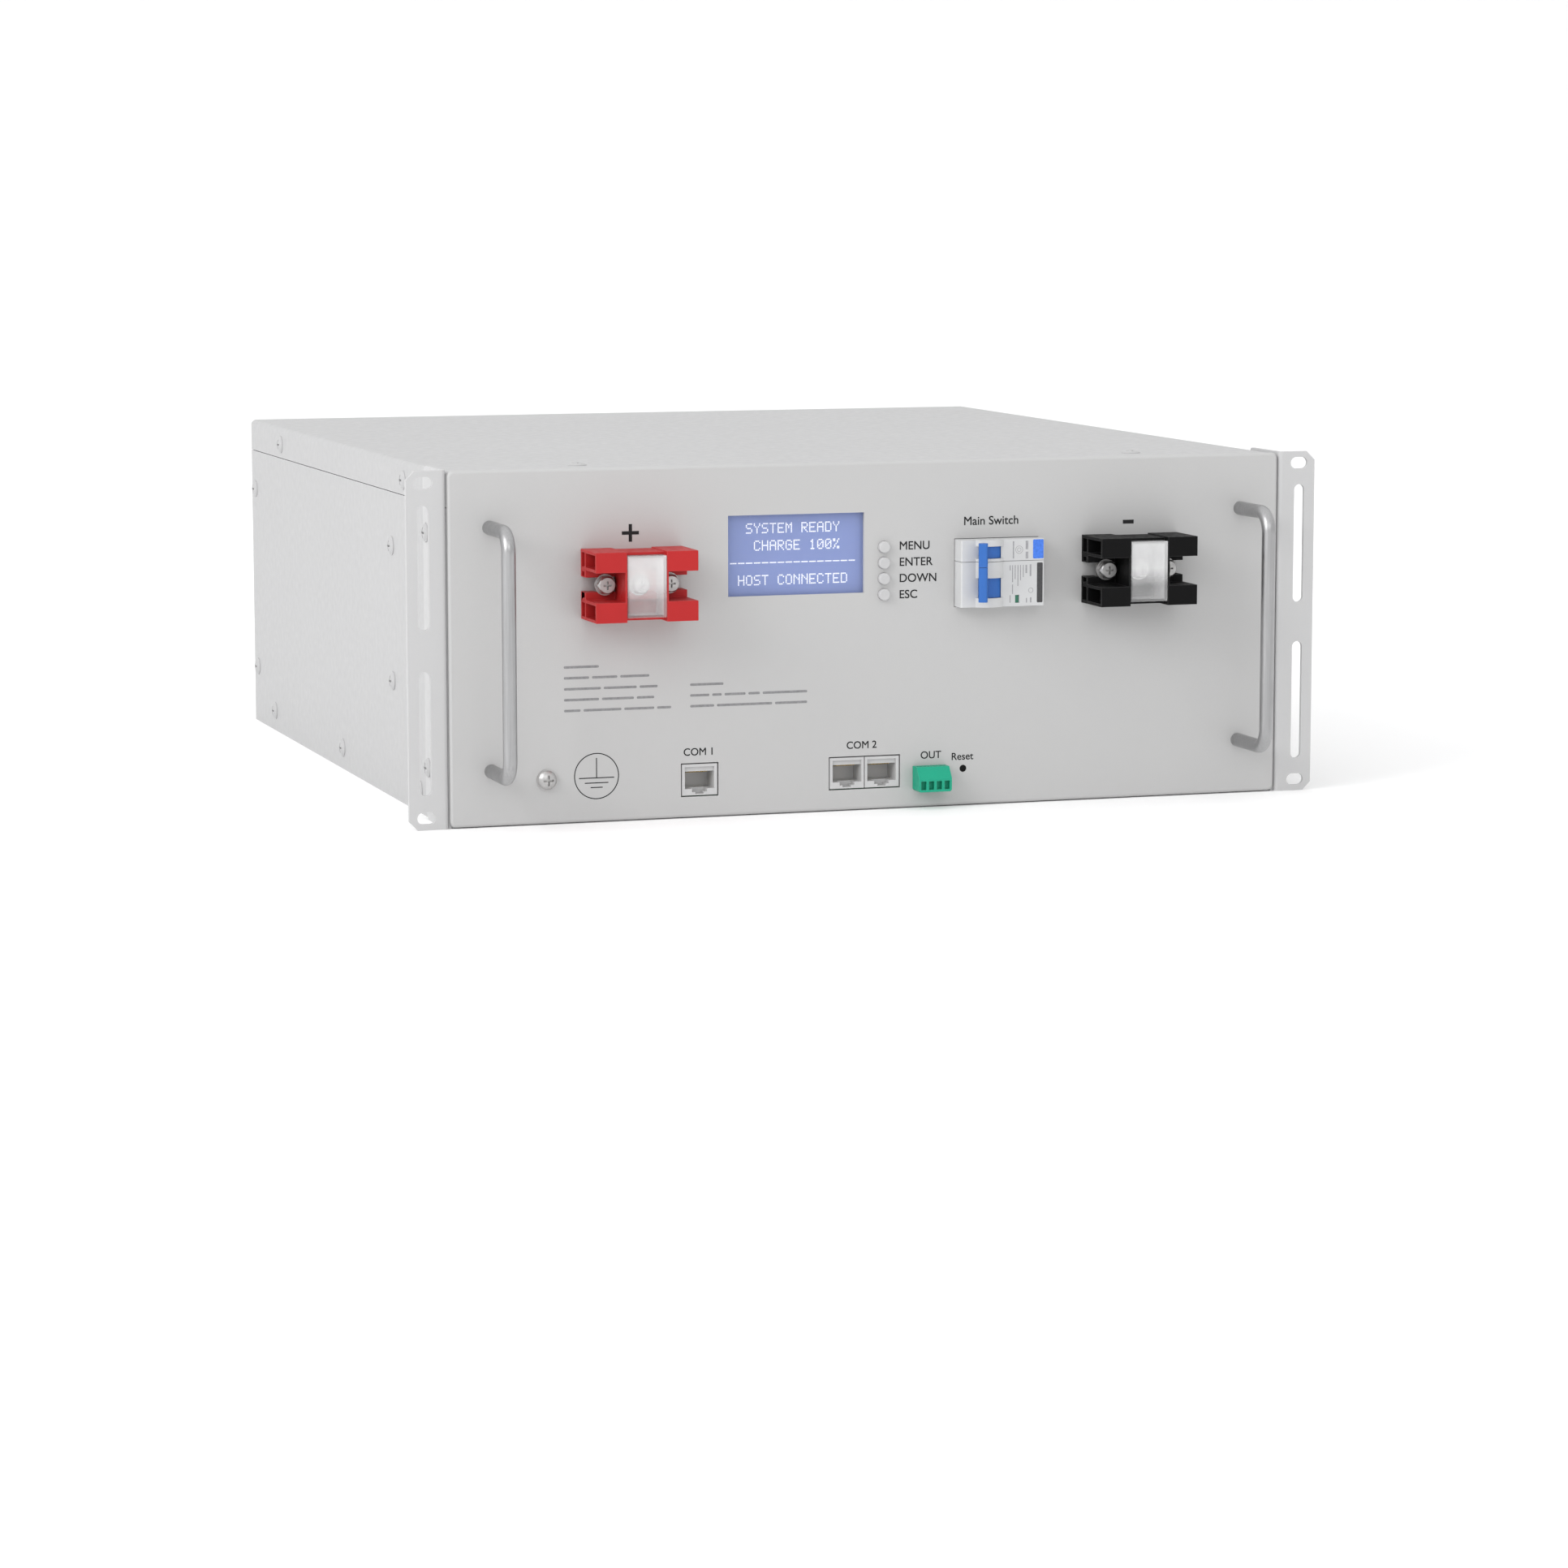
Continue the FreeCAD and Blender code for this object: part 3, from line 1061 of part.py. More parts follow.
def output_header():
    """Board-mounted socket for the output plug."""
    front = PANEL_THICK + FIT
    floor = TONGUE_DEPTH + HEADER_FLOOR_GAP
    height = TONGUE_Z[1] - TONGUE_Z[0]
    middle = sum(TONGUE_Z) / 2
    wall = 2 * HEADER_WALL
    gap = 2 * TONGUE_FIT
    shell = block(PLUG_X, middle, TONGUE_WIDTH + wall, height + wall, front, floor + HEADER_FLOOR)
    hollow = block(PLUG_X, middle, TONGUE_WIDTH + gap, height + gap, front - PAST, floor)
    return shell.cut(hollow)


def plug_way_places():
    return [PLUG_X + (n - (PLUG_WAYS - 1) / 2) * WAY_PITCH for n in range(PLUG_WAYS)]


def output_plug():
    """Pluggable four-way block with a sloping face above its wire entries."""
    low, high = PLUG_Z
    outline = [(-PLUG_GAP, low), (-PLUG_REACH, low), (-PLUG_REACH, PLUG_SLOPE_Z),
               (-PLUG_TOP_REACH, high), (-PLUG_GAP, high), (-PLUG_GAP, low)]
    side = Part.Face(Part.makePolygon([V(PLUG_X - PLUG_WIDTH / 2, y, z) for y, z in outline]))
    body = side.extrude(V(PLUG_WIDTH, 0, 0))
    lower_ends = [e for e in body.Edges if near(e.BoundBox.ZMax, low) and near(e.BoundBox.XLength, 0)]
    body = body.makeChamfer(PLUG_CHAMFER, lower_ends)
    slope_foot = edges_where(body, lambda p: near(p.y, -PLUG_REACH) and near(p.z, PLUG_SLOPE_Z))
    body = body.makeFillet(PLUG_EDGE_RADIUS, slope_foot)
    tongue = box(PLUG_X - TONGUE_WIDTH / 2, PLUG_X + TONGUE_WIDTH / 2, -PLUG_GAP - TONGUE_ROOT, TONGUE_DEPTH,
                 *TONGUE_Z)
    way_z = sum(WAY_Z) / 2
    way_height = WAY_Z[1] - WAY_Z[0]
    tools = []
    for x in plug_way_places():
        tools.append(block(x, way_z, WAY_WIDTH, way_height, -PLUG_REACH - PAST, -PLUG_REACH + WAY_DEPTH))
        tools.append(rod_z(x, -PLUG_TOP_REACH / 2, CLAMP_HOLE_RADIUS, high - CLAMP_HOLE_DEPTH, high + PAST))
    return cut(fuse([body, tongue]), tools)


def plug_screws():
    """Slotted clamp screws sunk in the plug's top."""
    top = PLUG_Z[1] - CLAMP_SCREW_SINK
    seat = PLUG_Z[1] - CLAMP_HOLE_DEPTH
    radius = CLAMP_HOLE_RADIUS - CLAMP_SCREW_FIT
    y = -PLUG_TOP_REACH / 2
    half = CLAMP_SLOT_WIDTH / 2
    screws = []
    for x in plug_way_places():
        slot = box(x - 2 * radius, x + 2 * radius, y - half, y + half, top - CLAMP_SLOT_DEPTH, top + PAST)
        screws.append(rod_z(x, y, radius, seat, top).cut(slot))
    return group(screws)


def reset_switch_front():
    return PANEL_THICK + RESET_TRAVEL + RESET_SWITCH_GAP


def reset_plunger():
    flange_y = PANEL_THICK + FIT
    pin = rod_y(RESET_X, RESET_Z, RESET_RADIUS, RESET_RECESS, reset_switch_front() - RESET_TRAVEL - FIT)
    flange = rod_y(RESET_X, RESET_Z, RESET_RADIUS + RESET_FLANGE, flange_y, flange_y + RESET_FLANGE_THICK)
    return fuse([pin, flange])


def reset_switch():
    front = reset_switch_front()
    return box(RESET_X - RESET_SWITCH_HALF, RESET_X + RESET_SWITCH_HALF, front, front + RESET_SWITCH_DEPTH,
               BOARD_TOP, RESET_Z + RESET_SWITCH_HALF)


def interface_board():
    """Board under the sockets, on four standoffs from the tray."""
    low_x = SINGLE_JACK_X - JACK_WIDTH / 2 - INTERFACE_LEFT
    high_x = RESET_X + INTERFACE_RIGHT
    under = BOARD_TOP - BOARD_THICK
    board = box(low_x, high_x, PANEL_THICK + INTERFACE_GAP, SWITCH_BACK, under, BOARD_TOP)
    standoffs = [rod_z(x, y, STANDOFF_RADIUS, SHEET, under)
                 for x in (low_x + STANDOFF_INSET, high_x - STANDOFF_INSET)
                 for y in (TRAY_FLANGE + STANDOFF_INSET, SWITCH_BACK - STANDOFF_INSET)]
    return fuse([board] + standoffs)


# ---------------------------------------------------------------- cells
def cell_x(column):
    return (column - (CELLS_PER_ROW - 1) / 2) * (CELL_THICK + CELL_GAP)


def cell(column, row_y):
    """Prismatic cell with two posts and a vent disc."""
    x = cell_x(column)
    can = box(x - CELL_THICK / 2, x + CELL_THICK / 2, row_y, row_y + CELL_WIDTH, CELL_BOTTOM, CELL_TOP)
    can = can.makeFillet(CAN_EDGE_RADIUS, [e for e in can.Edges if near(e.Length, CELL_HEIGHT)])
    middle = row_y + CELL_WIDTH / 2
    root = CELL_TOP - POST_ROOT
    posts = [rod_z(x, middle + side * POST_OFFSET, POST_RADIUS, root, LINK_Z) for side in (-1, 1)]
    vent = rod_z(x, middle, VENT_RADIUS, root, CELL_TOP + VENT_HEIGHT)
    return fuse([can, vent] + posts)


def cell_module(number):
    """Half a row of cells: modules 1 and 2 in the front row, 3 and 4 in the rear row."""
    row_y = ROW_1 if number < 3 else ROW_2
    first = 0 if number % 2 else CELLS_PER_ROW // 2
    return group([cell(column, row_y) for column in range(first, first + CELLS_PER_ROW // 2)])


def link(x0, x1, y0, y1):
    """Flat link whose corners lie beyond the middles of the posts it joins."""
    half = LINK_WIDTH / 2
    return box(x0 - LINK_LAP, x1 + LINK_LAP, y0 - half, y1 + half, LINK_Z, LINK_TOP)


def cell_links():
    """Series links on the posts, zigzagging along each row and crossing at the right."""
    links = []
    for row_y, first_side in ((ROW_1, -1), (ROW_2, 1)):
        middle = row_y + CELL_WIDTH / 2
        for column in range(CELLS_PER_ROW - 1):
            side = first_side if column % 2 == 0 else -first_side
            y = middle + side * POST_OFFSET
            links.append(link(cell_x(column), cell_x(column + 1), y, y))
    last_x = cell_x(CELLS_PER_ROW - 1)
    near_y = ROW_1 + CELL_WIDTH / 2 + POST_OFFSET
    far_y = ROW_2 + CELL_WIDTH / 2 - POST_OFFSET
    links.append(link(last_x, last_x, near_y, far_y))
    return group(links)


def rod_places():
    """(y, z) of the tie rods in front of and behind each row."""
    places = []
    for row_y in (ROW_1, ROW_2):
        for y in (row_y - ROD_OFFSET, row_y + CELL_WIDTH + ROD_OFFSET):
            places += [(y, z) for z in ROD_Z]
    return places


def row_end():
    """Outer face of a row's last cell with its spacer."""
    return cell_x(CELLS_PER_ROW - 1) + CELL_THICK / 2 + CELL_GAP


def cell_end_plates():
    plates = []
    holes = [rod_x(y, z, ROD_RADIUS + HOLE_CLEARANCE, -HALF, HALF) for y, z in rod_places()]
    for row_y in (ROW_1, ROW_2):
        front = row_y - END_PLATE_LAP
        rear = row_y + CELL_WIDTH + END_PLATE_LAP
        right = box(row_end(), row_end() + END_PLATE, front, rear, CELL_BOTTOM, CELL_TOP - END_PLATE_DROP)
        plates += [plate.cut(holes) for plate in (right, mirrored(right))]
    return group(plates)


def tie_rods():
    reach = row_end() + END_PLATE + ROD_LAP
    return group([rod_x(y, z, ROD_RADIUS, -reach, reach) for y, z in rod_places()])


def insulation_sheet():
    side = NEST - SHEET_MARGIN
    return box(-side, side, BAY_DEPTH + SHEET + SHEET_END_GAP, DEPTH - REAR_FLANGE - SHEET_END_GAP,
               SHEET, CELL_BOTTOM)


# ---------------------------------------------------------------- management board and power path
def bms_board():
    """Battery-management board on short standoffs off the bulkhead."""
    half = MANAGEMENT_BOARD_HALF
    low = MANAGEMENT_BOARD_LOW_Z
    high = BULKHEAD_HEIGHT - MANAGEMENT_BOARD_DROP
    back = BOARD_FACE + BOARD_THICK
    board = box(-half, half, BOARD_FACE, back, low, high)
    standoffs = [rod_y(x, z, STANDOFF_RADIUS, back, BAY_DEPTH)
                 for x in (STANDOFF_INSET - half, half - STANDOFF_INSET)
                 for z in (low + STANDOFF_INSET, high - STANDOFF_INSET)]
    return fuse([board] + standoffs)


def bms_heatsink():
    """Finned aluminium bar on the front of the management board."""
    left, right = HEATSINK_X
    low, high = HEATSINK_Z
    face = BOARD_FACE - HEATSINK_BASE
    pitch = (high - low) / FIN_COUNT
    bar = box(left, right, face, BOARD_FACE, low, high)
    fins = [box(left, right, face - FIN_HEIGHT, face, low + n * pitch, low + n * pitch + FIN_THICK)
            for n in range(FIN_COUNT)]
    return fuse([bar] + fins)


def post_connection(x, y):
    """Tab on a cell post, with an upright to the cable that runs over it."""
    half = POST_TAB_HALF
    tab = box(x - half, x + half, y - LINK_LAP, y + LINK_LAP, LINK_Z, LINK_TOP)
    riser = box(x - RISER_WIDTH / 2, x + RISER_WIDTH / 2, y - RISER_THICK / 2, y + RISER_THICK / 2,
                LINK_TOP, CABLE_Z - CABLE_RADIUS)
    return fuse([tab, riser])


def positive_cable():
    """Cell pack to the positive terminal's tang, over the bulkhead."""
    x = TERMINAL_X[0]
    tang_top = TERMINAL_Z - BUSBAR_HEIGHT / 2 + BUSBAR_THICK
    post_x = cell_x(0)
    post_y = ROW_1 + CELL_WIDTH / 2 + POST_OFFSET
    z = tang_top + CABLE_RADIUS
    low_y, high_y = CABLE_CLIMB_Y
    route = [(x, TANG_BACK, z), (x, low_y, z), (x, high_y, CABLE_Z), (post_x, post_y - CABLE_TURN, CABLE_Z),
             (post_x, post_y + CABLE_PAST_POST, CABLE_Z)]
    cable = tube(route, CABLE_RADIUS, CABLE_BEND)
    lug_top = tang_top + BUSBAR_THICK
    lug = box(x - LUG_HALF, x + LUG_HALF, TANG_BACK - LUG_LENGTH, TANG_BACK, tang_top, lug_top)
    return group([cable, lug, post_connection(post_x, post_y)])


def negative_cable():
    """Last cell to the management board."""
    post_x = cell_x(0)
    post_y = ROW_2 + CELL_WIDTH / 2 - POST_OFFSET
    drop_x = TERMINAL_X[0] + DROP_ACROSS
    drop_y = BAY_DEPTH - DROP_BEFORE
    drop_z = BULKHEAD_HEIGHT - DROP_BELOW
    route = [(post_x - LUG_HALF, post_y, CABLE_Z), (drop_x, post_y, CABLE_Z),
             (drop_x, drop_y, CABLE_Z), (drop_x, drop_y, drop_z)]
    cable = tube(route, CABLE_RADIUS, CABLE_BEND)
    tab = box(drop_x - LUG_HALF, drop_x + LUG_HALF, drop_y + CABLE_RADIUS, BOARD_FACE,
              drop_z - TAB_LOW, drop_z + TAB_HIGH)
    return group([cable, tab, post_connection(post_x, post_y)])


def switch_feed_cable():
    """Management board to the left end of the main switch."""
    z = sum(main_module()) / 2
    y = SWITCH_BACK - WIRE_PORT_INSET
    end = SWITCH_X - SWITCH_LENGTH / 2
    route = [(end + WIRE_END_DEPTH, y, z), (end - FEED_RUN, y, z), (end - FEED_RUN, BOARD_FACE, z)]
    return tube(route, CABLE_RADIUS, CABLE_BEND)


def switch_output_cable():
    """Right end of the main switch to the negative terminal's tang."""
    z = sum(main_module()) / 2
    y = SWITCH_BACK - WIRE_PORT_INSET
    end = SWITCH_X + SWITCH_LENGTH / 2
    x = TERMINAL_X[1]
    tang_low = TERMINAL_Z - BUSBAR_HEIGHT / 2
    cable = tube([(end - WIRE_END_DEPTH, y, z), (x - OUTPUT_TAB_HALF, y, z)], CABLE_RADIUS, CABLE_BEND)
    tab = box(x - OUTPUT_TAB_HALF, x + OUTPUT_TAB_HALF, TANG_BACK - LUG_LENGTH, y + OUTPUT_TAB_PAST,
              tang_low - BUSBAR_THICK, tang_low)
    return group([cable, tab])


# ---------------------------------------------------------------- all nodes
def all_nodes():
    right_side = side_panel()
    ear = right_ear()
    handle = right_handle()
    nodes = {
        "bottom_tray": bottom_tray(),
        "right_side_panel": right_side,
        "left_side_panel": mirrored(right_side),
        "top_cover": top_cover(),
        "rear_panel": rear_panel(),
        "front_panel": front_panel(),
        "bulkhead": bulkhead(),
        "right_ear": ear,
        "left_ear": mirrored(ear),
        "right_handle": handle,
        "left_handle": mirrored(handle),
        "case_screws": case_screws(),
        "panel_rear_screws": rear_screws(),
        "ground_screw": ground_screw(),
        "positive_terminal_block": terminal_block(TERMINAL_X[0]),
        "negative_terminal_block": terminal_block(TERMINAL_X[1]),
        "positive_busbar": busbar(TERMINAL_X[0]),
        "negative_busbar": busbar(TERMINAL_X[1]),
        "terminal_bolts": terminal_bolts(),
        "terminal_washers": terminal_washers(),
        "positive_terminal_cover": terminal_cover(TERMINAL_X[0]),
        "negative_terminal_cover": terminal_cover(TERMINAL_X[1]),
        "display_window": display_window(),
        "display_module": display_module(),
        "display_board": display_board(),
        "main_switch_housing": main_switch_housing(),
        "aux_switch_housing": aux_switch_housing(),
        "main_lever": lever(MAIN_DRUM_Z, MAIN_BAR_Z),
        "aux_lever": lever(AUX_DRUM_Z, AUX_BAR_Z),
        "lever_pins": lever_pins(),
        "contact_flag": contact_flag(),
        "din_rail": din_rail(),
        "switch_bracket": switch_bracket(),
        "network_jack": jack(SINGLE_JACK_X),
        "network_jack_pair": jack_pair(),
        "jack_contacts": jack_contacts(),
        "output_header": output_header(),
        "output_plug": output_plug(),
        "output_plug_screws": plug_screws(),
        "reset_plunger": reset_plunger(),
        "reset_switch": reset_switch(),
        "interface_board": interface_board(),
        "bms_board": bms_board(),
        "bms_heatsink": bms_heatsink(),
        "cell_links": cell_links(),
        "cell_end_plates": cell_end_plates(),
        "tie_rods": tie_rods(),
        "insulation_sheet": insulation_sheet(),
        "positive_cable": positive_cable(),
        "negative_cable": negative_cable(),
        "switch_feed_cable": switch_feed_cable(),
        "switch_output_cable": switch_output_cable(),
    }
    for place, name in enumerate(BUTTONS):
        nodes[name + "_button"] = button(place)
    for number in range(1, 5):
        nodes["cell_module_%d" % number] = cell_module(number)
    return nodes


def main():
    os.makedirs("parts", exist_ok=True)
    for name, shape in all_nodes().items():
        shape.translate(V(0, ORIGIN_SHIFT, 0))
        shape.exportStep("parts/%s.step" % name)


main()
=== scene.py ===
"""Looks of the rack battery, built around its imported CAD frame.

Lengths are metres, as in the frame, unless a comment says mm. The print on the panel, on the
switch and on the display is in millimetres, across the panel and up from the unit's base, unless
a comment says metres.
"""
import json
import math

import bmesh
import bpy
from mathutils import Matrix, Vector


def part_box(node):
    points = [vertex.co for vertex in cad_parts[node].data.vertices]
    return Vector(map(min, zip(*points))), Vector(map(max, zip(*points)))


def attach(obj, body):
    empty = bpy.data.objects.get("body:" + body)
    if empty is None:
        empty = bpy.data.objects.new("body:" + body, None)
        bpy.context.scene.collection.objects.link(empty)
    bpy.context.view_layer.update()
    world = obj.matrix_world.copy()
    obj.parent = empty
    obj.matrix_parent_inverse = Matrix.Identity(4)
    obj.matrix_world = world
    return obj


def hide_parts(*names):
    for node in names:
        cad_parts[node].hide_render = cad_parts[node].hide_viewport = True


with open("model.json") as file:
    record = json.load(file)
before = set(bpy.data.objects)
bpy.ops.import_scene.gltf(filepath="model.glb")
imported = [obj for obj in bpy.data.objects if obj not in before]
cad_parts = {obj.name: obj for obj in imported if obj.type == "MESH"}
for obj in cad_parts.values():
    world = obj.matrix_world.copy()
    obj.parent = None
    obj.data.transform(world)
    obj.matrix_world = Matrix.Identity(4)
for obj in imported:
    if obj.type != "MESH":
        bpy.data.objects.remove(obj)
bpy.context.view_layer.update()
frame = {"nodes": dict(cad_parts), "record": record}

NODES = frame["nodes"]
BODIES = frame["record"]["behaviour"]["bodies"]
BODY_OF = {node: body for body, members in BODIES.items() for node in members}
SLOT_OF = {part["node"]: part["material_slot"] for part in frame["record"]["subparts"]}

MM = 0.001                              # metres in a millimetre
PANEL_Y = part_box("front_panel")[0].y    # the panel's front face
BASE_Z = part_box("left_ear")[0].z        # the unit's base
WELD = 0.000002                         # points closer than this are one


def on_panel(x, z, out=0.0):
    """Place on the front panel from millimetres across, up from the base and out of the panel."""
    return Vector((x * MM, PANEL_Y - out * MM, BASE_Z + z * MM))


# ------------------------------------------------------------------ camera, floor and light
SENSOR_WIDTH = 36.0         # mm
LENS = 107.05               # mm
CAMERA_ACROSS, CAMERA_UP, CAMERA_OUT = -765.0, 332.7, 2213.3    # mm from the panel's middle and base
YAW, PITCH, ROLL = 17.96, -7.77, 0.04   # degrees
VIEW_LIMIT = 100.0
FLOOR_HALF_WIDTH = 12.0
FLOOR_FRONT = -12.0
BEND_START, BEND_RADIUS = 6.0, 4.0      # where and how the floor curves up
BACKDROP_TOP = 9.0
AIM_HEIGHT = 0.09           # the lamps look at this height above the base
# Each lamp's name, place, size and power in watts.
LAMPS = (("key", (-3.4, -1.6, 2.2), (2.2, 2.2), 84), ("front", (-0.6, -4.4, 2.4), (2.6, 1.6), 19))
SKY = {"From Min": -0.2, "From Max": 0.9, "To Min": 0.676, "To Max": 1.196}   # strength by height


def make_camera():
    data = bpy.data.cameras.new("camera")
    data.sensor_width = SENSOR_WIDTH
    data.lens = LENS
    data.clip_end = VIEW_LIMIT
    camera = bpy.data.objects.new("camera", data)
    camera.location = on_panel(CAMERA_ACROSS, CAMERA_UP, CAMERA_OUT)
    camera.rotation_euler = (math.radians(90 + PITCH), math.radians(ROLL), math.radians(-YAW))
    bpy.context.scene.collection.objects.link(camera)
    bpy.context.scene.camera = camera


def make_floor():
    """Pale floor that curves up into a backdrop behind the unit."""
    steps = 24
    profile = [(FLOOR_FRONT, 0.0), (BEND_START, 0.0)]
    for step in range(1, steps + 1):
        turn = math.pi / 2 * step / steps
        profile.append((BEND_START + BEND_RADIUS * math.sin(turn), BEND_RADIUS * (1 - math.cos(turn))))
    profile.append((BEND_START + BEND_RADIUS, BACKDROP_TOP))
    bm = bmesh.new()
    rows = []
    for y, z in profile:
        rows.append([bm.verts.new((side * FLOOR_HALF_WIDTH, y, BASE_Z + z)) for side in (-1, 1)])
    for low, high in zip(rows, rows[1:]):
        bm.faces.new((low[0], low[1], high[1], high[0])).smooth = True
    mesh = bpy.data.meshes.new("floor")
    bm.to_mesh(mesh)
    bm.free()
    floor = bpy.data.objects.new("floor", mesh)
    bpy.context.scene.collection.objects.link(floor)
    floor.data.materials.append(floor_material())


def add_light(name, place, size, power):
    data = bpy.data.lights.new(name, "AREA")
    data.shape = "RECTANGLE"
    data.size, data.size_y = size
    data.energy = power
    lamp = bpy.data.objects.new(name, data)
    lamp.location = place
    aim = Vector((0, 0, BASE_Z + AIM_HEIGHT)) - Vector(place)
    lamp.rotation_euler = aim.to_track_quat("-Z", "Y").to_euler()
    bpy.context.scene.collection.objects.link(lamp)


def make_light():
    """White studio: an even sky, brightest overhead, with soft boxes at the left and in front."""
    world = bpy.data.worlds.new("studio")
    bpy.context.scene.world = world
    world.use_nodes = True
    tree = world.node_tree
    place = tree.nodes.new("ShaderNodeTexCoord").outputs["Generated"]
    split = tree.nodes.new("ShaderNodeSeparateXYZ")
    ramp = tree.nodes.new("ShaderNodeMapRange")
    for socket, value in SKY.items():
        ramp.inputs[socket].default_value = value
    tree.links.new(place, split.inputs["Vector"])
    tree.links.new(split.outputs["Z"], ramp.inputs["Value"])
    tree.links.new(ramp.outputs["Result"], tree.nodes["Background"].inputs["Strength"])
    tree.nodes["Background"].inputs["Color"].default_value = (1.0, 1.0, 1.0, 1.0)
    for lamp in LAMPS:
        add_light(*lamp)
    bpy.context.scene.view_settings.view_transform = "Standard"


# ------------------------------------------------------------------ materials
class Look:
    """One procedural material while it is being wired."""

    def __init__(self, name):
        self.material = bpy.data.materials.new(name)
        self.material.use_nodes = True
        self.tree = self.material.node_tree
        self.shader = self.tree.nodes["Principled BSDF"]
        self.place = self.tree.nodes.new("ShaderNodeTexCoord").outputs["Object"]

    def node(self, kind, **settings):
        made = self.tree.nodes.new(kind)
        for key, value in settings.items():
            setattr(made, key, value)
        return made

    def link(self, source, target):
        self.tree.links.new(source, target)

    def set(self, **values):
        for key, value in values.items():
            self.shader.inputs[key.replace("_", " ")].default_value = value

    def stretched(self, scale):
        mapping = self.node("ShaderNodeMapping")
        mapping.inputs["Scale"].default_value = scale
        self.link(self.place, mapping.inputs["Vector"])
        return mapping.outputs["Vector"]

    def noise(self, scale, detail=3.0, vector=None):
        made = self.node("ShaderNodeTexNoise")
        made.inputs["Scale"].default_value = scale
        made.inputs["Detail"].default_value = detail
        self.link(vector or self.place, made.inputs["Vector"])
        return made.outputs["Fac"]

    def span(self, value, low, high, start=0.3, end=0.7):
        """The value's usual range, start to end, mapped to low to high."""
        made = self.node("ShaderNodeMapRange")
        limits = zip(("From Min", "From Max", "To Min", "To Max"), (start, end, low, high))
        for socket, limit in limits:
            made.inputs[socket].default_value = limit
        self.link(value, made.inputs["Value"])
        return made.outputs["Result"]

    def blend(self, amount, first, second):
        """Colour between two colours, each a tuple or a socket."""
        made = self.node("ShaderNodeMix", data_type="RGBA")
        colours = [socket for socket in made.inputs if socket.type == "RGBA"]
        self.link(amount, made.inputs["Factor"])
        for value, socket in zip((first, second), colours):
            if isinstance(value, tuple):
                socket.default_value = (*value, 1.0)
            else:
                self.link(value, socket)
        return [socket for socket in made.outputs if socket.type == "RGBA"][0]

    def edges(self, radius):
        """1 within the radius of an edge, 0 on flat faces."""
        bevel = self.node("ShaderNodeBevel", samples=4)
        bevel.inputs["Radius"].default_value = radius
        dot = self.node("ShaderNodeVectorMath", operation="DOT_PRODUCT")
        self.link(bevel.outputs["Normal"], dot.inputs[0])
        self.link(self.node("ShaderNodeNewGeometry").outputs["Normal"], dot.inputs[1])
        return self.span(dot.outputs["Value"], 1.0, 0.0, 0.90, 0.995)

    def bump(self, height, strength, distance):
        made = self.node("ShaderNodeBump")
        made.inputs["Strength"].default_value = strength
        made.inputs["Distance"].default_value = distance
        self.link(height, made.inputs["Height"])
        self.link(made.outputs["Normal"], self.shader.inputs["Normal"])

    def color(self, source):
        self.link(source, self.shader.inputs["Base Color"])

    def rough(self, source):
        self.link(source, self.shader.inputs["Roughness"])


def shade(color, factor):
    return tuple(min(1.0, channel * factor) for channel in color)


def floor_material():
    look = Look("studio_floor")
    look.color(look.blend(look.noise(1.2), (0.95, 0.95, 0.952), (0.965, 0.965, 0.966)))
    look.rough(look.span(look.noise(40), 0.6, 0.75))
    look.set(Specular_IOR_Level=0.1)
    return look.material


def powder_coat(name, color):
    """Fine textured powder coat: orange peel, cloudy tone, slightly burnished edges."""
    look = Look(name)
    cloud = look.span(look.noise(7, 5), 0, 1)
    grain = look.span(look.noise(2200, 2), 0, 1)
    tone = look.blend(cloud, shade(color, 0.985), shade(color, 1.01))
    grained = look.blend(grain, shade(color, 0.985), tone)
    look.color(look.blend(look.edges(0.0008), grained, shade(color, 1.07)))
    look.rough(look.span(look.noise(240, 3), 0.42, 0.56))
    look.set(Specular_IOR_Level=0.35)
    look.bump(look.noise(1300, 3), 0.30, 0.00007)
    return look.material


def satin_metal(name, color, roughness=0.34, stretch=(1.0, 1.0, 0.03), scale=1400.0):
    """Metal with fine drawn lines."""
    look = Look(name)
    lines = look.noise(scale, 2, look.stretched(stretch))
    tone = look.blend(look.span(lines, 0, 1), shade(color, 0.9), shade(color, 1.08))
    look.color(look.blend(look.span(look.noise(25, 4), 0, 0.5), tone, shade(color, 0.86)))
    look.set(Metallic=1.0)
    look.rough(look.span(look.noise(180, 3), roughness - 0.05, roughness + 0.07))
    look.bump(lines, 0.10, 0.00004)
    return look.material


def moulded(name, color, roughness=0.40, gloss=0.3):
    """Injection-moulded plastic: spark-eroded grain, flow clouds, rubbed edges."""
    look = Look(name)
    tone = look.blend(look.span(look.noise(60, 4), 0, 1), shade(color, 0.95), shade(color, 1.04))
    rubbed = tuple(0.90 * channel + 0.05 for channel in color)
    look.color(look.blend(look.edges(0.00035), tone, rubbed))
    look.rough(look.span(look.noise(350, 2), roughness - 0.05, roughness + 0.07))
    look.set(Specular_IOR_Level=gloss)
    look.bump(look.noise(2100, 2), 0.16, 0.00005)
    return look.material


def clear_plastic(name, tint, see_through, roughness):
    """Clear moulding with a milky bloom and faint handling marks."""
    look = Look(name)
    look.color(look.blend(look.span(look.noise(90, 3), 0, 1), tint, shade(tint, 0.97)))
    look.rough(look.span(look.noise(220, 4), roughness - 0.03, roughness + 0.08))
    look.set(Alpha=1.0 - see_through, Specular_IOR_Level=0.6)
    look.bump(look.noise(500, 2), 0.05, 0.00003)
    return look.material


COVER_HIGHLIGHT_ALPHA = (0.16, 0.40)  # how opaque a cover is at its foot and at its top; the whiter, more opaque top is a painted highlight
HIGHLIGHT_RISE = (0.26, 0.56)   # the shares of its height between which that painted highlight grows
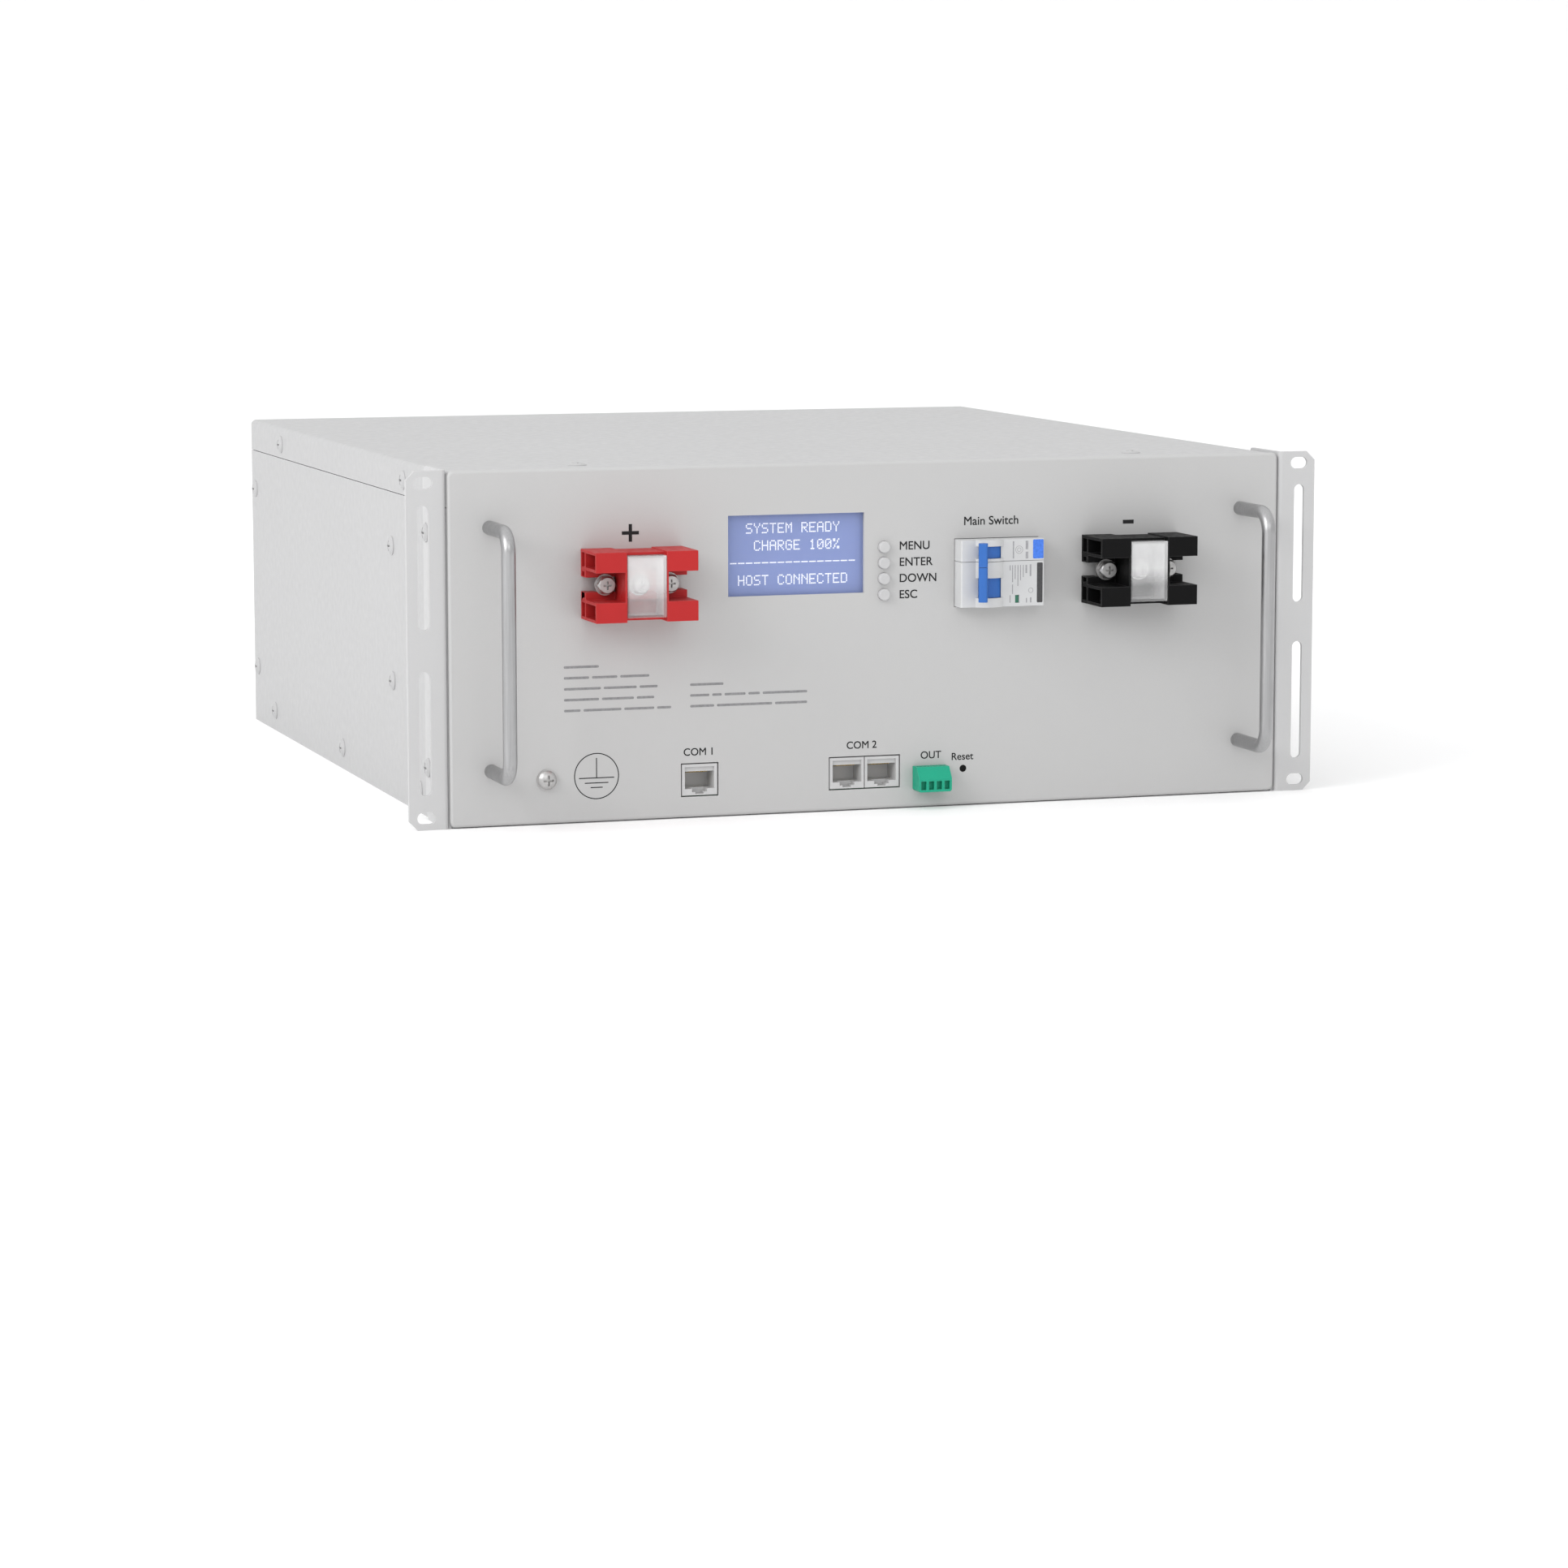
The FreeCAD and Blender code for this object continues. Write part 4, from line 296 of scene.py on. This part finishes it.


def cover_with_painted_highlight(name, tint, low, high):
    """Clear cap, milky all over, with a painted highlight that makes it more opaque and whiter towards
    its top; low and high are its two corners.
    """
    look = Look(name)
    axes = look.node("ShaderNodeSeparateXYZ")
    look.link(look.place, axes.inputs["Vector"])
    # opacity rising with height is a painted highlight on the cover's top; the random cloud below is the
    # plastic's own
    rise = look.span(axes.outputs["Z"], 0.0, 1.0, low.z, high.z)
    cloud = look.span(look.noise(60, 3), -0.04, 0.04)
    alpha_with_highlight = look.node("ShaderNodeMath", operation="ADD")
    look.link(look.span(rise, *COVER_HIGHLIGHT_ALPHA, *HIGHLIGHT_RISE), alpha_with_highlight.inputs[0])
    look.link(cloud, alpha_with_highlight.inputs[1])
    look.link(alpha_with_highlight.outputs["Value"], look.shader.inputs["Alpha"])
    look.color(look.blend(look.span(look.noise(90, 3), 0, 1), tint, shade(tint, 0.97)))
    look.rough(look.span(look.noise(220, 4), 0.13, 0.24))
    look.set(Specular_IOR_Level=0.5)
    look.bump(look.noise(500, 2), 0.05, 0.00003)
    return look.material


def two_colour_flag(name, split_x, left, right):
    """Moulded slider printed in two colours, changing at one place across."""
    look = Look(name)
    axes = look.node("ShaderNodeSeparateXYZ")
    look.link(look.place, axes.inputs["Vector"])
    side = look.span(axes.outputs["X"], 0.0, 1.0, split_x - 0.00002, split_x + 0.00002)
    fleck = look.blend(look.span(look.noise(400, 3), 0, 1), left, shade(left, 1.25))
    look.color(look.blend(side, fleck, right))
    look.rough(look.span(look.noise(500, 2), 0.42, 0.55))
    look.bump(look.noise(2100, 2), 0.12, 0.00004)
    return look.material


def printed(name, color):
    """Screen-printed ink with slightly uneven cover."""
    look = Look(name)
    look.color(look.blend(look.span(look.noise(900, 3), 0, 1), color, shade(color, 1.3)))
    look.rough(look.span(look.noise(900, 2), 0.45, 0.6))
    look.set(Specular_IOR_Level=0.2)
    look.bump(look.noise(2500, 2), 0.1, 0.00002)
    return look.material


def backlit(name, color, glow):
    """Display surface with a faint, slightly uneven backlight."""
    look = Look(name)
    tone = look.blend(look.span(look.noise(30, 2), 0, 1), shade(color, 0.97), shade(color, 1.03))
    look.color(tone)
    look.link(tone, look.shader.inputs["Emission Color"])
    look.set(Emission_Strength=glow, Specular_IOR_Level=0.2)
    look.rough(look.span(look.noise(300, 2), 0.35, 0.5))
    look.bump(look.noise(1800, 2), 0.05, 0.00002)
    return look.material


FLAG_LOW, FLAG_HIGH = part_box("contact_flag")
FLAG_SPLIT = FLAG_LOW.x + (FLAG_HIGH.x - FLAG_LOW.x) / 2     # green to its left, red to its right
COVER_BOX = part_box("positive_terminal_cover")

MATERIALS = {
    "case_paint": powder_coat("case_paint", (0.432, 0.432, 0.435)),
    "ear_paint": powder_coat("ear_paint", (0.49, 0.49, 0.493)),
    "panel_paint": powder_coat("panel_paint", (0.460, 0.459, 0.458)),
    "handle_metal": satin_metal("handle_metal", (0.40, 0.40, 0.405), 0.36),
    "zinc_steel": satin_metal("zinc_steel", (0.50, 0.495, 0.49), 0.44, (1, 1, 1), 500),
    "positive_plastic": moulded("positive_plastic", (0.41, 0.018, 0.019), 0.42, 0.2),
    "negative_plastic": moulded("negative_plastic", (0.005, 0.005, 0.0052), 0.45, 0.08),
    "tinned_copper": satin_metal("tinned_copper", (0.55, 0.54, 0.52), 0.4),
    "clear_plastic": cover_with_painted_highlight("clear_plastic", (0.95, 0.95, 0.955), *COVER_BOX),
    "display_window": clear_plastic("display_window", (0.80, 0.82, 0.90), 0.93, 0.06),
    "display_face": backlit("display_face", (0.127, 0.182, 0.417), 0.18),
    "circuit_board": moulded("circuit_board", (0.02, 0.16, 0.06), 0.35),
    "button_plastic": moulded("button_plastic", (0.49, 0.49, 0.494), 0.45),
    "switch_plastic": moulded("switch_plastic", (0.54, 0.545, 0.55), 0.36),
    "lever_plastic": moulded("lever_plastic", (0.028, 0.125, 0.42), 0.36),
    "flag_plastic": two_colour_flag("flag_plastic", FLAG_SPLIT, (0.04, 0.19, 0.12), (0.55, 0.03, 0.03)),
    "jack_plastic": moulded("jack_plastic", (0.50, 0.50, 0.502), 0.42),
    "gold_contact": satin_metal("gold_contact", (0.83, 0.62, 0.25), 0.25),
    "plug_plastic": moulded("plug_plastic", (0.006, 0.31, 0.19), 0.45),
    "black_plastic": moulded("black_plastic", (0.006, 0.006, 0.006), 0.5, 0.1),
    "galvanised": satin_metal("galvanised", (0.55, 0.56, 0.57), 0.42, (1, 1, 1), 90),
    "cell_can": satin_metal("cell_can", (0.66, 0.67, 0.69), 0.35),
    "aluminium": satin_metal("aluminium", (0.74, 0.74, 0.75), 0.34),
    "red_cable": moulded("red_cable", (0.50, 0.02, 0.02), 0.5),
    "black_cable": moulded("black_cable", (0.012, 0.012, 0.012), 0.5),
    "insulation": moulded("insulation", (0.66, 0.64, 0.52), 0.5),
}
PANEL_INK = printed("panel_ink", (0.012, 0.012, 0.013))
PALE_INK = printed("pale_ink", (0.20, 0.20, 0.205))
SWITCH_INK = printed("switch_ink", (0.27, 0.27, 0.28))
BLUE_FOIL = printed("blue_foil", (0.055, 0.16, 0.58))
DARK_FOIL = printed("dark_foil", (0.055, 0.055, 0.057))
LCD_WHITE = backlit("lcd_white", (0.86, 0.88, 0.92), 0.25)


def paint_nodes():
    """Gives every CAD node its slot's material."""
    for name, node in NODES.items():
        for place in range(len(node.material_slots)):
            node.material_slots[place].material = MATERIALS[SLOT_OF[name]]


# ------------------------------------------------------------------ pieces
def add_piece(name, mesh, body, material):
    piece = bpy.data.objects.new(name, mesh)
    bpy.context.scene.collection.objects.link(piece)
    mesh.materials.clear()
    mesh.materials.append(material)
    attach(piece, body)
    return piece


FLAT_ANGLE = math.radians(0.3)      # faces that meet at less are one face
SHARP_ANGLE = math.radians(32)      # edges that bend more are sharp, and are rounded


def refined(node, width, segments=2):
    """Copy of a CAD node with its sharp edges rounded, which stands for the node."""
    bm = bmesh.new()
    bm.from_mesh(NODES[node].data)
    bmesh.ops.remove_doubles(bm, verts=bm.verts, dist=WELD)
    bmesh.ops.dissolve_limit(bm, angle_limit=FLAT_ANGLE, verts=bm.verts, edges=bm.edges)
    mesh = bpy.data.meshes.new(node + "_finished")
    bm.to_mesh(mesh)
    bm.free()
    if "custom_normal" in mesh.attributes:
        mesh.attributes.remove(mesh.attributes["custom_normal"])
    mesh.shade_smooth()
    mesh.set_sharp_from_angle(angle=SHARP_ANGLE)
    slot = SLOT_OF[node]
    piece = add_piece(node + "_finished", mesh, BODY_OF[node], MATERIALS[slot])
    bevel = piece.modifiers.new("edges", "BEVEL")
    bevel.width = width
    bevel.segments = segments
    bevel.limit_method = "ANGLE"
    bevel.angle_limit = SHARP_ANGLE
    bevel.harden_normals = True
    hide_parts(node)
    return piece


SHEET_EDGE = 0.00025
PLASTIC_EDGE = 0.0003
REFINED = {
    "left_side_panel": SHEET_EDGE, "right_side_panel": SHEET_EDGE, "top_cover": SHEET_EDGE,
    "rear_panel": SHEET_EDGE, "bottom_tray": SHEET_EDGE, "left_ear": SHEET_EDGE, "right_ear": SHEET_EDGE,
    "positive_terminal_block": PLASTIC_EDGE, "negative_terminal_block": PLASTIC_EDGE,
    "positive_terminal_cover": PLASTIC_EDGE / 2, "negative_terminal_cover": PLASTIC_EDGE / 2,
    "main_switch_housing": PLASTIC_EDGE, "aux_switch_housing": PLASTIC_EDGE,
    "main_lever": PLASTIC_EDGE, "aux_lever": PLASTIC_EDGE,
    "network_jack": PLASTIC_EDGE / 2, "network_jack_pair": PLASTIC_EDGE / 2,
    "output_plug": PLASTIC_EDGE / 2,
}


# ------------------------------------------------------------------ print on the panel and the switch
PRINT_HEIGHT = 0.03         # mm of ink above its surface
PRINT_SINK = 0.01           # mm of ink below its surface, so that no gap shows
CAP_RATIO = 0.682           # cap height of the built-in font at size 1
FONT_LEFT = 0.074           # its side bearing at size 1
INK_SPREAD = 0.010          # how far the ink spreads beyond the letters at size 1
LAYER = 0.000002            # metres; each pass of the ink lies this far above the one before


class Print:
    """Flat raised shapes on a face that looks along -Y, gathered into one mesh."""

    def __init__(self, out=0.0):
        self.bm = bmesh.new()
        self.out = out

    def point(self, x, z, lift):
        return on_panel(x, z, self.out + lift)

    def outline(self, points):
        """Prism from a closed outline of (x, z) places in millimetres."""
        low = [self.bm.verts.new(self.point(x, z, -PRINT_SINK)) for x, z in points]
        high = [self.bm.verts.new(self.point(x, z, PRINT_HEIGHT)) for x, z in points]
        self.bm.faces.new(high)
        self.bm.faces.new(list(reversed(low)))
        for place in range(len(points)):
            after = (place + 1) % len(points)
            self.bm.faces.new((low[place], low[after], high[after], high[place]))

    def bar(self, x0, x1, z0, z1):
        self.outline([(x0, z0), (x1, z0), (x1, z1), (x0, z1)])

    def rounded(self, x0, x1, z0, z1, radius, steps=5):
        points = []
        corners = ((x1 - radius, z0 + radius, 270), (x1 - radius, z1 - radius, 0),
                   (x0 + radius, z1 - radius, 90), (x0 + radius, z0 + radius, 180))
        for x, z, start in corners:
            for step in range(steps + 1):
                turn = math.radians(start + 90 * step / steps)
                points.append((x + radius * math.cos(turn), z + radius * math.sin(turn)))
        self.outline(points)

    def ring(self, x, z, radius, stroke, steps=72):
        """Ring made of one closed strip of prisms."""
        loops = []
        for r, lift in ((radius - stroke / 2, PRINT_HEIGHT), (radius + stroke / 2, PRINT_HEIGHT),
                        (radius + stroke / 2, -PRINT_SINK), (radius - stroke / 2, -PRINT_SINK)):
            loops.append([self.bm.verts.new(self.point(x + r * math.cos(2 * math.pi * n / steps),
                                                       z + r * math.sin(2 * math.pi * n / steps), lift))
                          for n in range(steps)])
        for inner, outer in zip(loops, loops[1:] + loops[:1]):
            for n in range(steps):
                after = (n + 1) % steps
                self.bm.faces.new((inner[n], outer[n], outer[after], inner[after]))

    def text(self, words, x, z, cap_height):
        """Words with their left end and base line at a place."""
        curve = bpy.data.curves.new(words, "FONT")
        curve.body = words
        curve.size = cap_height / CAP_RATIO * MM
        curve.extrude = (PRINT_HEIGHT + PRINT_SINK) / 2 * MM
        spread = INK_SPREAD * curve.size
        flat = bpy.data.objects.new(words, curve)
        mesh = bpy.data.meshes.new_from_object(flat)
        place = self.point(x, z, (PRINT_HEIGHT - PRINT_SINK) / 2)
        place.x -= FONT_LEFT * curve.size
        mesh.transform(Matrix.Translation(place) @ Matrix.Rotation(math.pi / 2, 4, "X"))
        for layer, (across, up) in enumerate(((-1, -1), (1, -1), (1, 1), (-1, 1))):
            spread_mesh = mesh.copy()
            spread_mesh.transform(Matrix.Translation((across * spread, -layer * LAYER, up * spread)))
            self.bm.from_mesh(spread_mesh)
            bpy.data.meshes.remove(spread_mesh)
        bpy.data.objects.remove(flat)
        bpy.data.curves.remove(curve)
        bpy.data.meshes.remove(mesh)

    def finish(self, name, material, body="case"):
        bmesh.ops.recalc_face_normals(self.bm, faces=self.bm.faces)
        mesh = bpy.data.meshes.new(name)
        self.bm.to_mesh(mesh)
        self.bm.free()
        return add_piece(name, mesh, body, material)


BUTTON_WORDS = ("MENU", "ENTER", "DOWN", "ESC")
BUTTON_WORDS_X = 13.7
BUTTON_WORDS_TOP = 131.85   # base line of the first word
BUTTON_PITCH = 8.2
BUTTON_CAPS = 4.1           # height of the capitals
SWITCH_CAPS = 4.2
PORT_CAPS = 3.6
PORT_WORDS = (("COM 1", -100.3, 31.7), ("COM 2", -14.3, 31.7), ("OUT", 25.4, 25.1), ("Reset", 42.0, 23.7))


def panel_words():
    ink = Print()
    for place, word in enumerate(BUTTON_WORDS):
        ink.text(word, BUTTON_WORDS_X, BUTTON_WORDS_TOP - BUTTON_PITCH * place, BUTTON_CAPS)
    ink.text("Main Switch", 48.2, 143.4, SWITCH_CAPS)
    for word, x, z in PORT_WORDS:
        ink.text(word, x, z, PORT_CAPS)
    ink.finish("panel_words", PANEL_INK)


def polarity_marks():
    """Plus over the red block and minus over the black one."""
    ink = Print()
    x, z, arm, stroke = -127.6, 144.0, 4.4, 1.75
    ink.outline([(x + sx * a, z + sz * b) for sx, sz, a, b in (
        (-1, -1, stroke / 2, arm), (1, -1, stroke / 2, arm), (1, -1, stroke / 2, stroke / 2),
        (1, -1, arm, stroke / 2), (1, 1, arm, stroke / 2), (1, 1, stroke / 2, stroke / 2),
        (1, 1, stroke / 2, arm), (-1, 1, stroke / 2, arm), (-1, 1, stroke / 2, stroke / 2),
        (-1, 1, arm, stroke / 2), (-1, -1, arm, stroke / 2), (-1, -1, stroke / 2, stroke / 2))])
    ink.bar(134.6, 140.6, 141.9, 143.9)
    ink.finish("polarity_marks", PANEL_INK)


def earth_symbol():
    """Standard protective-earth sign: a ring, a stem and three shortening bars."""
    ink = Print()
    x, z = -145.7, 23.4
    stroke = 0.5
    half = stroke / 2
    ring_radius, stem_foot, stem_head = 11.35, -0.9, 9.1
    ink.ring(x, z, ring_radius, stroke)
    ink.bar(x - half, x + half, z + stem_foot + half, z + stem_head)
    for reach, height in ((9.1, 22.5), (6.1, 20.0), (3.1, 17.7)):
        ink.bar(x - reach, x + reach, height - half, height + half)
    ink.finish("earth_symbol", PANEL_INK)


WORD_GAP = 1.5
BAR_HEIGHT = 1.25
BAR_ROUNDING = 0.4          # corner radius as a share of the bar's height


def greeked_block(ink, x, lines):
    """Lines of plain word-long bars where a label would be: (z of the middle, word lengths)."""
    half = BAR_HEIGHT / 2
    for z, words in lines:
        at = x
        for length in words:
            ink.rounded(at, at + length, z - half, z + half, BAR_HEIGHT * BAR_ROUNDING, 3)
            at += length + WORD_GAP


def rating_lines():
    """Two blocks of bars that stand for the rating and advice text, with no lettering."""
    ink = Print()
    greeked_block(ink, -162.2, ((78.2, (18.0,)), (72.8, (13.0, 13.0, 15.0)), (67.3, (19.0, 17.0, 9.3)),
                                (61.9, (18.0, 16.5, 9.0)), (56.5, (8.5, 19.5, 15.5, 7.3))))
    greeked_block(ink, -97.0, ((67.3, (17.4,)), (61.9, (10.0, 5.0, 11.0, 6.0, 23.5)),
                               (56.5, (12.5, 29.0, 17.0))))
    ink.finish("rating_lines", PALE_INK)


NOSE_AHEAD = 1.4            # the switch's nose stands this far in front of the flag


def switch_labels():
    """Plain foils and word bars on the two switch modules' noses."""
    nose = (PANEL_Y - FLAG_LOW.y) / MM + NOSE_AHEAD
    foil = Print(nose)
    foil.rounded(81.9, 87.6, 126.3, 136.0, 0.6)
    foil.finish("aux_switch_foil", BLUE_FOIL)
    foil = Print(nose)
    foil.rounded(84.1, 87.2, 103.9, 124.2, 0.5)
    foil.finish("main_switch_foil", DARK_FOIL)
    ink = Print(nose)
    ink.ring(74.4, 131.0, 1.9, 0.25, 36)
    ink.ring(74.4, 131.0, 0.95, 0.25, 24)
    upper = ((71.3, 126.6, 135.3, 0.7), (78.6, 126.4, 129.9, 1.4), (78.6, 131.1, 135.4, 1.4))
    lower = ((69.6, 120.6, 123.2, 0.5), (70.9, 114.6, 123.2, 0.5), (70.9, 108.6, 113.4, 0.5),
             (72.3, 116.1, 123.2, 0.5), (73.8, 112.6, 123.2, 0.5), (75.2, 115.4, 123.2, 0.5),
             (76.7, 117.0, 123.2, 0.5), (78.3, 119.0, 123.2, 0.9), (80.6, 117.4, 123.4, 0.9),
             (69.6, 104.2, 108.0, 0.5), (78.5, 104.0, 106.4, 0.6), (80.8, 104.0, 106.6, 0.8))
    for x, low, high, width in upper + lower:
        ink.bar(x - width / 2, x + width / 2, low, high)
    ink.ring(80.8, 110.2, 1.2, 0.25, 28)
    ink.finish("switch_print", SWITCH_INK)


# ------------------------------------------------------------------ display
GLYPHS = {
    "A": ".###. #...# #...# ##### #...# #...# #...#",
    "C": ".###. #...# #.... #.... #.... #...# .###.",
    "D": "####. #...# #...# #...# #...# #...# ####.",
    "E": "##### #.... #.... ####. #.... #.... #####",
    "G": ".###. #...# #.... #.### #...# #...# .###.",
    "H": "#...# #...# #...# ##### #...# #...# #...#",
    "K": "#...# #..#. #.#.. ##... #.#.. #..#. #...#",
    "M": "#...# ##.## #.#.# #.#.# #...# #...# #...#",
    "N": "#...# ##..# #.#.# #..## #...# #...# #...#",
    "O": ".###. #...# #...# #...# #...# #...# .###.",
    "P": "####. #...# #...# ####. #.... #.... #....",
    "R": "####. #...# #...# ####. #.#.. #..#. #...#",
    "S": ".#### #.... #.... .###. ....# ....# ####.",
    "T": "##### ..#.. ..#.. ..#.. ..#.. ..#.. ..#..",
    "U": "#...# #...# #...# #...# #...# #...# .###.",
    "Y": "#...# #...# .#.#. ..#.. ..#.. ..#.. ..#..",
    "1": "..#.. .##.. ..#.. ..#.. ..#.. ..#.. .###.",
    "0": ".###. #...# #..## #.#.# ##..# #...# .###.",
    "%": "##..# ##.#. ...#. ..#.. .#... .#.## #..##",
    "-": "..... ..... ..... ##### ..... ..... .....",
}
CELL_PITCH = 4.17           # mm from one character to the next
DOT_WIDE, DOT_HIGH = CELL_PITCH / 6, 0.745
DOT_FILL = 0.8              # lit share of a dot's pitch
LINE_PITCH = 8.67
FIRST_LINE_Z = 146.75       # top of the first line
LINES_X = -74.7             # left end of the lines
FACE_BEHIND = 0.4           # the display's face lies this far behind the front of its module
SCREEN = ((2, "SYSTEM READY"), (3, "CHARGE 100%"), (0, "-" * 16), (1, "HOST CONNECTED"))  # indent, words


def display_pixels():
    """Lit dots of the character display, just in front of its face."""
    module_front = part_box("display_module")[0].y
    lit = Print((PANEL_Y - module_front) / MM - FACE_BEHIND)
    for row, (indent, words) in enumerate(SCREEN):
        for column, letter in enumerate(words):
            if letter == " ":
                continue
            for down, dots in enumerate(GLYPHS[letter].split()):
                for across, dot in enumerate(dots):
                    if dot == "#":
                        x = LINES_X + (indent + column) * CELL_PITCH + across * DOT_WIDE
                        z = FIRST_LINE_Z - row * LINE_PITCH - down * DOT_HIGH
                        lit.bar(x, x + DOT_WIDE * DOT_FILL, z - DOT_HIGH * DOT_FILL, z)
    lit.finish("display_dots", LCD_WHITE)


# ------------------------------------------------------------------ the scene
make_camera()
make_floor()
make_light()
paint_nodes()
for node, width in REFINED.items():
    refined(node, width)
panel_words()
polarity_marks()
earth_symbol()
rating_lines()
switch_labels()
display_pixels()
